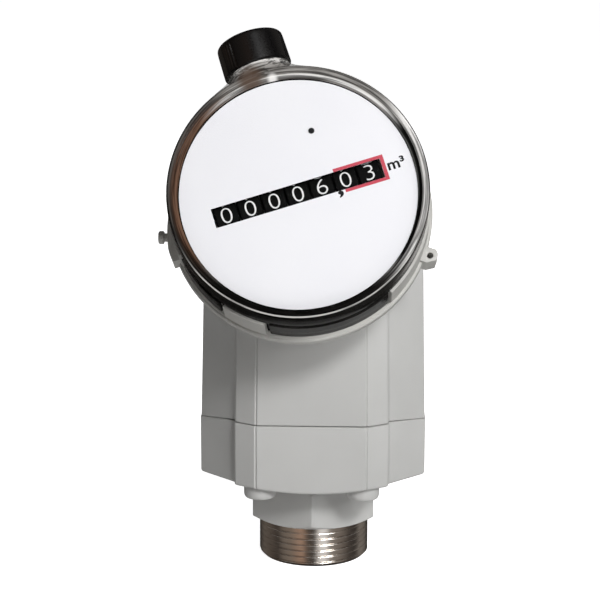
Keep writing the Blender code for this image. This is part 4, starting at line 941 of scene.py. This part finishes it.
def addSpout(piece):
    # The flare narrows from the cover's side to the ring under the cap
    inner = cover["radius"] - cover["wall"]
    height = cover["height"]
    half = cover["flareHalf"]
    ring = cover["spout"] + cover["spoutRing"]
    top = cover["capReach"] - 0.3
    middle = (cover["shoulder"] + height) / 2
    shallow = (height - cover["shoulder"]) / 2 - 0.2
    hidden = height - cover["rim"] - 0.2 - middle
    capHeight = cover["capHeight"]
    rows = [flareRow(inner - 7, half, hidden, middle),
            flareRow(inner - 1.2, half * 0.9, hidden, middle),
            flareRow(inner + 0.2, half * 0.8, shallow + 0.7, middle - 0.4),
            flareRow(inner + 1.6, half * 0.66, shallow + 1.7, middle - 1.2),
            flareRow(top - 1.5, ring + 0.7, ring * 0.9, capHeight),
            flareRow(top - 0.7, ring + 0.2, ring * 0.98, capHeight),
            flareRow(top, ring, ring, capHeight)]
    combineMesh(piece, looseTool("flare", rows, headMatrix, coverWallPaintedLight), "UNION")
    spout = [(cover["spout"], inner), (cover["spout"], cover["spoutEnd"])]
    combineMesh(piece, turnedTool("spout", spout, towardsCap, 64), "UNION")


def hollowCover(piece):
    inner = cover["radius"] - cover["wall"]
    skirt = cover["skirtOuter"] - cover["wall"]
    below = cover["skirtBase"] - 1
    shoulder = cover["shoulder"]
    windowBase = cover["height"] - cover["rim"] - cover["window"]
    inside = [(0.02, below), (skirt, below), (skirt, shoulder), (inner, shoulder + 0.4),
              (inner, windowBase), (0.02, windowBase)]
    combineMesh(piece, turnedTool("inside", inside, headMatrix, cover["segments"]), "DIFFERENCE")
    bore = [(cover["bore"], inner - 1), (cover["bore"], cover["spoutEnd"] + 1)]
    combineMesh(piece, turnedTool("spoutBore", bore, towardsCap, 64), "DIFFERENCE")


def makeCover():
    piece = coverBlank()
    addTabs(piece)
    addSpout(piece)
    hollowCover(piece)
    fixNormals(piece, 30)
    piece.data.materials.clear()
    piece.data.materials.append(coverWallPaintedLight)
    piece.data.materials.append(coverWindow)
    windowBase = cover["height"] - cover["rim"] - cover["window"]
    limit = (cover["clearRadius"] - 3) * mm
    for face in piece.data.polygons:
        below = face.normal.z < -0.95
        above = face.normal.z > 0.95 and math.hypot(face.center.x, face.center.y) < limit
        face.material_index = int((above or below) and face.center.z > (windowBase - 0.5) * mm)
    # Clear plastic lets the lamps' light through to the dial
    piece.visible_shadow = False
    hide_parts("clear_cover")


cap = {"radius": 11.75, "length": 11.4, "wall": 1.9, "grooveDepth": 0.65, "grooveGroups": 3,
       "groovesInGroup": 4, "groovePitch": 6.6, "grooveEnd": 2.4, "edge": 1.5, "edgeSteps": 5,
       "columns": 360}


def capGroove(angle):
    # Groups of narrow grooves with plain stretches between them
    share = math.degrees(angle) % (360 / cap["grooveGroups"])
    if share > cap["groovesInGroup"] * cap["groovePitch"]:
        return 0.0
    return 0.5 - 0.5 * math.cos(2 * math.pi * share / cap["groovePitch"])


def makeCap():
    # Each point of the profile is (radius, height, share of the grooves' depth)
    low = cover["capReach"]
    top = low + cap["length"]
    radius = cap["radius"]
    inner = radius - cap["wall"]
    edge = cap["edge"]
    profile = [(0.05, top - cap["wall"], 0), (inner, top - cap["wall"], 0), (inner, low, 0),
               (radius - 0.3, low, 0), (radius, low + 0.3, 0), (radius, low + 0.9, 1),
               (radius - 0.15, top - cap["grooveEnd"], 1), (radius - 0.2, top - 1.7, 0)]
    for step in range(1, cap["edgeSteps"] + 1):
        angle = math.pi / 2 * step / cap["edgeSteps"]
        profile.append((radius - 0.2 - edge * (1 - math.cos(angle)),
                        top - edge * (1 - math.sin(angle)), 0))
    profile += [(radius - 3.0, top, 0), (radius - 3.2, top - 0.15, 0), (0.05, top - 0.15, 0)]
    rows = []
    for r, h, grooved in profile:
        row = []
        for step in range(cap["columns"]):
            angle = 2 * math.pi * step / cap["columns"]
            reach = (r - grooved * cap["grooveDepth"] * capGroove(angle)) * mm
            row.append((reach * math.cos(angle), reach * math.sin(angle), h * mm))
        rows.append(row)
    piece = makePiece("spoutCap", *stackRows(rows), blackPlastic, "cap", "black_plastic",
                      towardsCap, 40)
    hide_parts("spout_cap")


makeCup()
makeLug()
makePad()
makePin()
makeCover()
makeCap()
print("head made")


# Dial and counter

dial = {"radius": 39.8, "top": 30.0, "sheet": 0.6, "slotLength": 58.8, "slotWidth": 6.8,
        "ink": 0.04, "redStart": 13.3, "redLowStart": 15.3, "redHalf": 4.5, "redWidth": 1.2,
        "peg": (10.6, 19.5), "pegRadius": 1.0, "pegHeight": 0.3, "segments": 144}
# Words on the dial: height, centre, width against the font's own, and strokes thicker by ems
dialWords = {
    "decimalComma": {"words": ",", "height": 2.4, "at": (13.6, -4.6), "wide": 1.3, "thicken": 0.02},
    "unitMark": {"words": "m³", "height": 3.9, "at": (34.2, 0.3), "wide": 1.1, "thicken": 0.022},
}
dialRing = {"outer": 41.7, "inner": 40.1, "step": 40.5, "ledge": 37.5, "low": 22.3,
            "ledgeLow": 28.1, "ledgeTop": 29.1, "top": 31.0}


def flatInk(name, outline, material, thickness):
    # A printed shape or a peg on the dial's face
    low = dial["top"]
    rows = [[(x * mm, y * mm, z * mm) for x, y in outline] for z in (low, low + thickness)]
    return makePiece(name, *stackRows(rows, False, True), material, "index_head", "dial_white",
                     headMatrix, 30)


def textMesh(words, heightMm, widthShare, thicken):
    # A word as a flat mesh, centred on the origin, in metres; the strokes grow by ems
    curve = bpy.data.curves.new("letter", "FONT")
    curve.body = words
    curve.align_x = "CENTER"
    curve.offset = thicken
    curve.resolution_u = 6
    letter = bpy.data.objects.new("letter", curve)
    bpy.context.scene.collection.objects.link(letter)
    bpy.context.view_layer.update()
    graph = bpy.context.evaluated_depsgraph_get()
    mesh = bpy.data.meshes.new_from_object(letter.evaluated_get(graph))
    bpy.data.objects.remove(letter, do_unlink=True)
    xs = [vertex.co.x for vertex in mesh.vertices]
    ys = [vertex.co.y for vertex in mesh.vertices]
    scale = heightMm * mm / (max(ys) - min(ys))
    middleX = (max(xs) + min(xs)) / 2
    middleY = (max(ys) + min(ys)) / 2
    points = [((x - middleX) * scale * widthShare, (y - middleY) * scale) for x, y in zip(xs, ys)]
    faces = [tuple(face.vertices) for face in mesh.polygons]
    bpy.data.meshes.remove(mesh)
    return points, faces


def printWord(name, word):
    points, faces = textMesh(word["words"], word["height"], word["wide"], word["thicken"])
    atX, atY = word["at"]
    height = (dial["top"] + dial["ink"]) * mm
    lifted = [(x + atX * mm, y + atY * mm, height) for x, y in points]
    makePiece(name, lifted, faces, blackInk, "index_head", "dial_white", headMatrix, 30)


def makeDialPlate():
    low = dial["top"] - dial["sheet"]
    profile = [(0.02, low), (dial["radius"], low), (dial["radius"], dial["top"]),
               (0.02, dial["top"])]
    plate = turnedPiece("dialPlate", profile, dialWhite, "index_head", "dial_white", headMatrix,
                        dial["segments"])
    halfLength = dial["slotLength"] / 2
    halfWidth = dial["slotWidth"] / 2
    corners = [(-halfLength, -halfWidth), (halfLength, -halfWidth), (halfLength, halfWidth),
               (-halfLength, halfWidth)]
    rows = [[(x * mm, y * mm, z * mm) for x, y in corners] for z in (low - 1, dial["top"] + 1)]
    combineMesh(plate, looseTool("slot", rows, headMatrix, dialWhite), "DIFFERENCE")
    fixNormals(plate, 30)
    # The slot's cut walls get the drums' black material
    plate.data.materials.clear()
    plate.data.materials.append(dialWhite)
    plate.data.materials.append(drumPlastic)
    for face in plate.data.polygons:
        upright = abs(face.normal.z) < 0.5
        inSlot = math.hypot(face.center.x, face.center.y) < (dial["radius"] - 3) * mm
        face.material_index = int(upright and inSlot)
    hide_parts("dial_plate")


def makeDialRing():
    outer = dialRing["outer"]
    inner = dialRing["inner"]
    step = dialRing["step"]
    top = dialRing["top"]
    ledge = dialRing["ledge"]
    profile = [(step, dialRing["low"]), (outer, dialRing["low"]), (outer, top - 0.1),
               (outer - 0.2, top), (inner + 0.2, top), (inner, top - 0.2),
               (inner, dialRing["ledgeTop"]), (ledge, dialRing["ledgeTop"]),
               (ledge, dialRing["ledgeLow"]), (step, dialRing["ledgeLow"])]
    ring = turnedPiece("dialRing", profile, drumPlastic, "index_head", "black_plastic",
                       headMatrix, dial["segments"])
    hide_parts("dial_ring")


def makeDialPrint():
    # A red frame round the last two drums, the peg above them and the words
    ink = dial["ink"]
    start = dial["redStart"]
    lowStart = dial["redLowStart"]
    half = dial["redHalf"]
    inside = dial["slotLength"] / 2 + 0.05
    end = inside + dial["redWidth"]
    low = dial["slotWidth"] / 2 + 0.02
    flatInk("redBarTop", [(start, low), (inside, low), (inside, half), (start, half)], redInk, ink)
    flatInk("redBarEnd", [(inside, -half), (end, -half), (end, half), (inside, half)], redInk, ink)
    flatInk("redBarBottom", [(lowStart, -half), (inside, -half), (inside, -low), (lowStart, -low)],
            redInk, ink)
    pegX, pegY = dial["peg"]
    radius = dial["pegRadius"]
    turns = [2 * math.pi * step / 24 for step in range(24)]
    flatInk("dialPeg", [(pegX + radius * math.cos(a), pegY + radius * math.sin(a)) for a in turns],
            blackInk, dial["pegHeight"])
    for name, word in dialWords.items():
        printWord(name, word)


drum = {"radius": 9.5, "bore": 1.5, "pitch": 8.3, "gap": 0.6, "edge": 0.3, "height": 19.0,
        "digitHeight": 5.4, "digitWidth": 1.14, "digitThicken": -0.016, "digitLift": 0.035,
        "ink": 0.03, "reading": "0000603"}


def drumDigits(name, shown, centre, glyphs, body):
    # Ten digits round the drum, with the one that shows turned up by the lift, in radians
    points = []
    faces = []
    reach = (drum["radius"] + drum["ink"]) * mm
    for step in range(10):
        marks, shapes = glyphs[(shown + step) % 10]
        base = len(points)
        middle = drum["digitLift"] - 2 * math.pi * step / 10
        for x, y in marks:
            angle = middle + y / (drum["radius"] * mm)
            points.append((x + centre * mm, reach * math.sin(angle), reach * math.cos(angle)))
        faces += [tuple(base + index for index in shape) for shape in shapes]
    place = headMatrix @ Matrix.Translation((0, 0, drum["height"] * mm))
    makePiece(name, points, faces, whiteInk, body, "black_plastic", place)


def makeDrums():
    half = (drum["pitch"] - drum["gap"]) / 2
    radius = drum["radius"]
    bore = drum["bore"]
    edge = drum["edge"]
    onAxis = headMatrix @ Matrix.Translation((0, 0, drum["height"] * mm)) \
        @ Matrix.Rotation(math.pi / 2, 4, "Y")
    glyphs = [textMesh(str(digit), drum["digitHeight"], drum["digitWidth"], drum["digitThicken"])
              for digit in range(10)]
    for number, shown in enumerate(drum["reading"], 1):
        body = "counter_wheel_%d" % number
        centre = (number - 4) * drum["pitch"]
        low = centre - half
        high = centre + half
        profile = [(bore, low), (radius - edge, low), (radius, low + edge), (radius, high - edge),
                   (radius - edge, high), (bore, high)]
        wheel = turnedPiece("numberDrum%d" % number, profile, drumPlastic, body, "black_plastic",
                            onAxis, 96)
        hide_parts("number_wheel_%d" % number)
        drumDigits("drumDigits%d" % number, int(shown), centre, glyphs, body)


makeDialPlate()
makeDialRing()
makeDialPrint()
makeDrums()
print("dial and counter made")


# Finishes of the CAD nodes that show as they are

nodeFinishes = {
    acetal: ("flow_straightener", "outlet_body", "turbine_wheel", "bearing_plate", "gear_carrier",
             "pressure_plate", "carry_pinion_1", "carry_pinion_2", "carry_pinion_3",
             "carry_pinion_4", "carry_pinion_5", "carry_pinion_6"),
    steel: ("rotor_shaft", "lower_bearing", "upper_bearing", "transfer_shaft", "magnet_shaft",
            "clamp_ring", "retaining_clip", "counter_frame", "follower_shaft", "index_worm",
            "counter_shaft", "carry_shaft", "drive_arbor"),
    ferrite: ("drive_magnet", "follower_magnet"),
    rubber: ("housing_seal", "pressure_seal", "cover_seal", "cap_seal"),
}
for finish, names in nodeFinishes.items():
    for name in names:
        mesh = frame["nodes"][name].data
        mesh.materials.clear()
        mesh.materials.append(finish)
print("finishes set")


# Camera, light and floor: places in metres here, but for the camera's own millimetres

shot = {"elevation": 11.739, "pan": 1.965, "roll": 0.156, "lens": 110.69, "sensor": 36.0,
        "distance": 701.28, "aim": (-5.59, 0.0, 99.3)}


def makeCamera():
    pan = math.radians(shot["pan"])
    elevation = math.radians(shot["elevation"])
    away = Vector((math.sin(pan) * math.cos(elevation), -math.cos(pan) * math.cos(elevation),
                   math.sin(elevation)))
    right = (-away).cross(Vector((0, 0, 1))).normalized()
    up = right.cross(-away)
    roll = math.radians(shot["roll"])
    side = right * math.cos(roll) + up * math.sin(roll)
    top = up * math.cos(roll) - right * math.sin(roll)
    camera = bpy.data.objects.new("camera", bpy.data.cameras.new("camera"))
    bpy.context.scene.collection.objects.link(camera)
    place = (Vector(shot["aim"]) + away * shot["distance"]) * mm
    facing = Matrix((side, top, away)).transposed().to_4x4()
    camera.matrix_world = Matrix.Translation(place) @ facing
    camera.data.lens = shot["lens"]
    camera.data.sensor_width = shot["sensor"]
    camera.data.clip_start = 0.01
    camera.data.clip_end = 20.0
    bpy.context.scene.camera = camera


# Soft boxes, with their power in watts; those without gloss light the back and the top plainly
lamps = {
    "key": {"place": (0.429, -1.092, 0.815), "size": (0.2, 0.2), "power": 8.4, "gloss": True},
    "soft": {"place": (0.657, -0.968, 0.815), "size": (0.45, 0.45), "power": 5.3, "gloss": True},
    "low": {"place": (0.755, -1.069, 0.517), "size": (0.2, 0.2), "power": 2.7, "gloss": True},
    "backLeft": {"place": (-0.8, 1.15, 0.3), "size": (0.6, 0.5), "power": 5.0, "gloss": False},
    "backRight": {"place": (0.9, 1.1, 0.3), "size": (0.6, 0.5), "power": 3.5, "gloss": False},
    "above": {"place": (0.0, 0.55, 1.3), "size": (0.5, 0.5), "power": 1.8, "gloss": False},
}
studioTarget = Vector((0.0, -0.03, 0.1))


def makeLamps():
    for name, lamp in lamps.items():
        data = bpy.data.lights.new(name, "AREA")
        data.shape = "RECTANGLE"
        data.size, data.size_y = lamp["size"]
        data.energy = lamp["power"]
        light = bpy.data.objects.new(name, data)
        bpy.context.scene.collection.objects.link(light)
        place = Vector(lamp["place"])
        light.visible_glossy = lamp["gloss"]
        light.location = place
        light.rotation_euler = (studioTarget - place).to_track_quat("-Z", "Y").to_euler()


# The flags are what stands round the meter, for its gloss: bearing in degrees from the front, to
# the right, and colour
studio = {
    "floorHalf": 9.0, "floorColour": "#FAFAFA", "shadowGlow": 0.9, "shadowReach": (0.03, 0.14),
    "worldDiffuse": 0.02,
    "flags": [(-180, "#262422"), (-155, "#302D2B"), (-128, "#6C655E"), (-97, "#5A524C"),
              (-80, "#3C3734"), (-66, "#7D746C"), (-48, "#8C8177"), (-24, "#BC9D89"),
              (-12, "#5E5650"), (3, "#3C3734"), (9, "#B8B4B0"), (14, "#FFFFFF"), (28, "#FFFFFF"),
              (36, "#9A948E"), (60, "#857D76"), (84, "#4A4440"), (102, "#3C3835"),
              (118, "#8C8680"), (138, "#76716C"), (155, "#302D2B"), (180, "#262422")],
}


def makeFloor():
    # White paper that the camera sees as white, but for the meter's shadow close to it
    paper = newMaterial("whitePaper", studio["floorColour"], 0.9)
    rays = addNode(paper, "ShaderNodeLightPath").outputs
    where = addNode(paper, "ShaderNodeTexCoord").outputs["Object"]
    away = addNode(paper, "ShaderNodeVectorMath", {"operation": "LENGTH"}, {
        0: where}).outputs["Value"]
    near, far = studio["shadowReach"]
    glow = addNode(paper, "ShaderNodeMapRange", {"interpolation_type": "SMOOTHSTEP"}, {
        "Value": away, "From Min": near, "From Max": far,
        "To Min": studio["shadowGlow"], "To Max": 1.0}).outputs[0]
    seen = addNode(paper, "ShaderNodeMath", {"operation": "MULTIPLY"}, {
        0: glow, 1: rays["Is Camera Ray"]}).outputs[0]
    setShader(paper, {"Emission Color": (1, 1, 1, 1), "Emission Strength": seen})
    half = studio["floorHalf"]
    corners = [(-half, -half, 0), (half, -half, 0), (half, half, 0), (-half, half, 0)]
    mesh = bpy.data.meshes.new("floor")
    mesh.from_pydata(corners, [], [(0, 1, 2, 3)])
    mesh.materials.append(paper)
    floor = bpy.data.objects.new("floor", mesh)
    bpy.context.scene.collection.objects.link(floor)
    floor.visible_glossy = False
    floor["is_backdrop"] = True


def makeBackdrop():
    # White to the camera and through clear plastic, and the flags to the gloss of the pieces
    world = bpy.data.worlds.new("studio")
    bpy.context.scene.world = world
    world.use_nodes = True
    background = world.node_tree.nodes["Background"]
    rays = addNode(world, "ShaderNodeLightPath").outputs
    where = addNode(world, "ShaderNodeTexCoord").outputs["Generated"]
    parts = addNode(world, "ShaderNodeSeparateXYZ", None, {"Vector": where}).outputs
    ahead = addNode(world, "ShaderNodeMath", {"operation": "MULTIPLY"}, {
        0: parts["Y"], 1: -1.0}).outputs[0]
    bearing = addNode(world, "ShaderNodeMath", {"operation": "ARCTAN2"}, {
        0: parts["X"], 1: ahead}).outputs[0]
    share = addNode(world, "ShaderNodeMapRange", None, {
        "Value": bearing, "From Min": -math.pi, "From Max": math.pi}).outputs[0]
    flags = addNode(world, "ShaderNodeValToRGB", None, {"Fac": share})
    fillRamp(flags, [((degrees + 180) / 360, hexCode) for degrees, hexCode in studio["flags"]])
    lit = addNode(world, "ShaderNodeMath", {"operation": "MAXIMUM"}, {
        0: rays["Is Camera Ray"], 1: rays["Is Transmission Ray"]}).outputs[0]
    colour = addNode(world, "ShaderNodeMix", {"data_type": "RGBA"}, {
        0: lit, 6: flags.outputs["Color"], 7: (1, 1, 1, 1)}).outputs[2]
    seen = addNode(world, "ShaderNodeMath", {"operation": "MAXIMUM"}, {
        0: lit, 1: rays["Is Glossy Ray"]}).outputs[0]
    level = addNode(world, "ShaderNodeMath", {"operation": "MAXIMUM"}, {
        0: seen, 1: studio["worldDiffuse"]}).outputs[0]
    world.node_tree.links.new(colour, background.inputs["Color"])
    world.node_tree.links.new(level, background.inputs["Strength"])


makeCamera()
makeLamps()
makeFloor()
makeBackdrop()
bpy.context.scene.view_settings.view_transform = "Standard"
print("studio made")


def settlePieces():
    # Each new piece keeps its place in its mesh, with its origin at the meter's own
    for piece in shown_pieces():
        if piece.matrix_world != Matrix.Identity(4):
            piece.data.transform(piece.matrix_world)
            piece.matrix_world = Matrix.Identity(4)
    bpy.context.view_layer.update()


settlePieces()
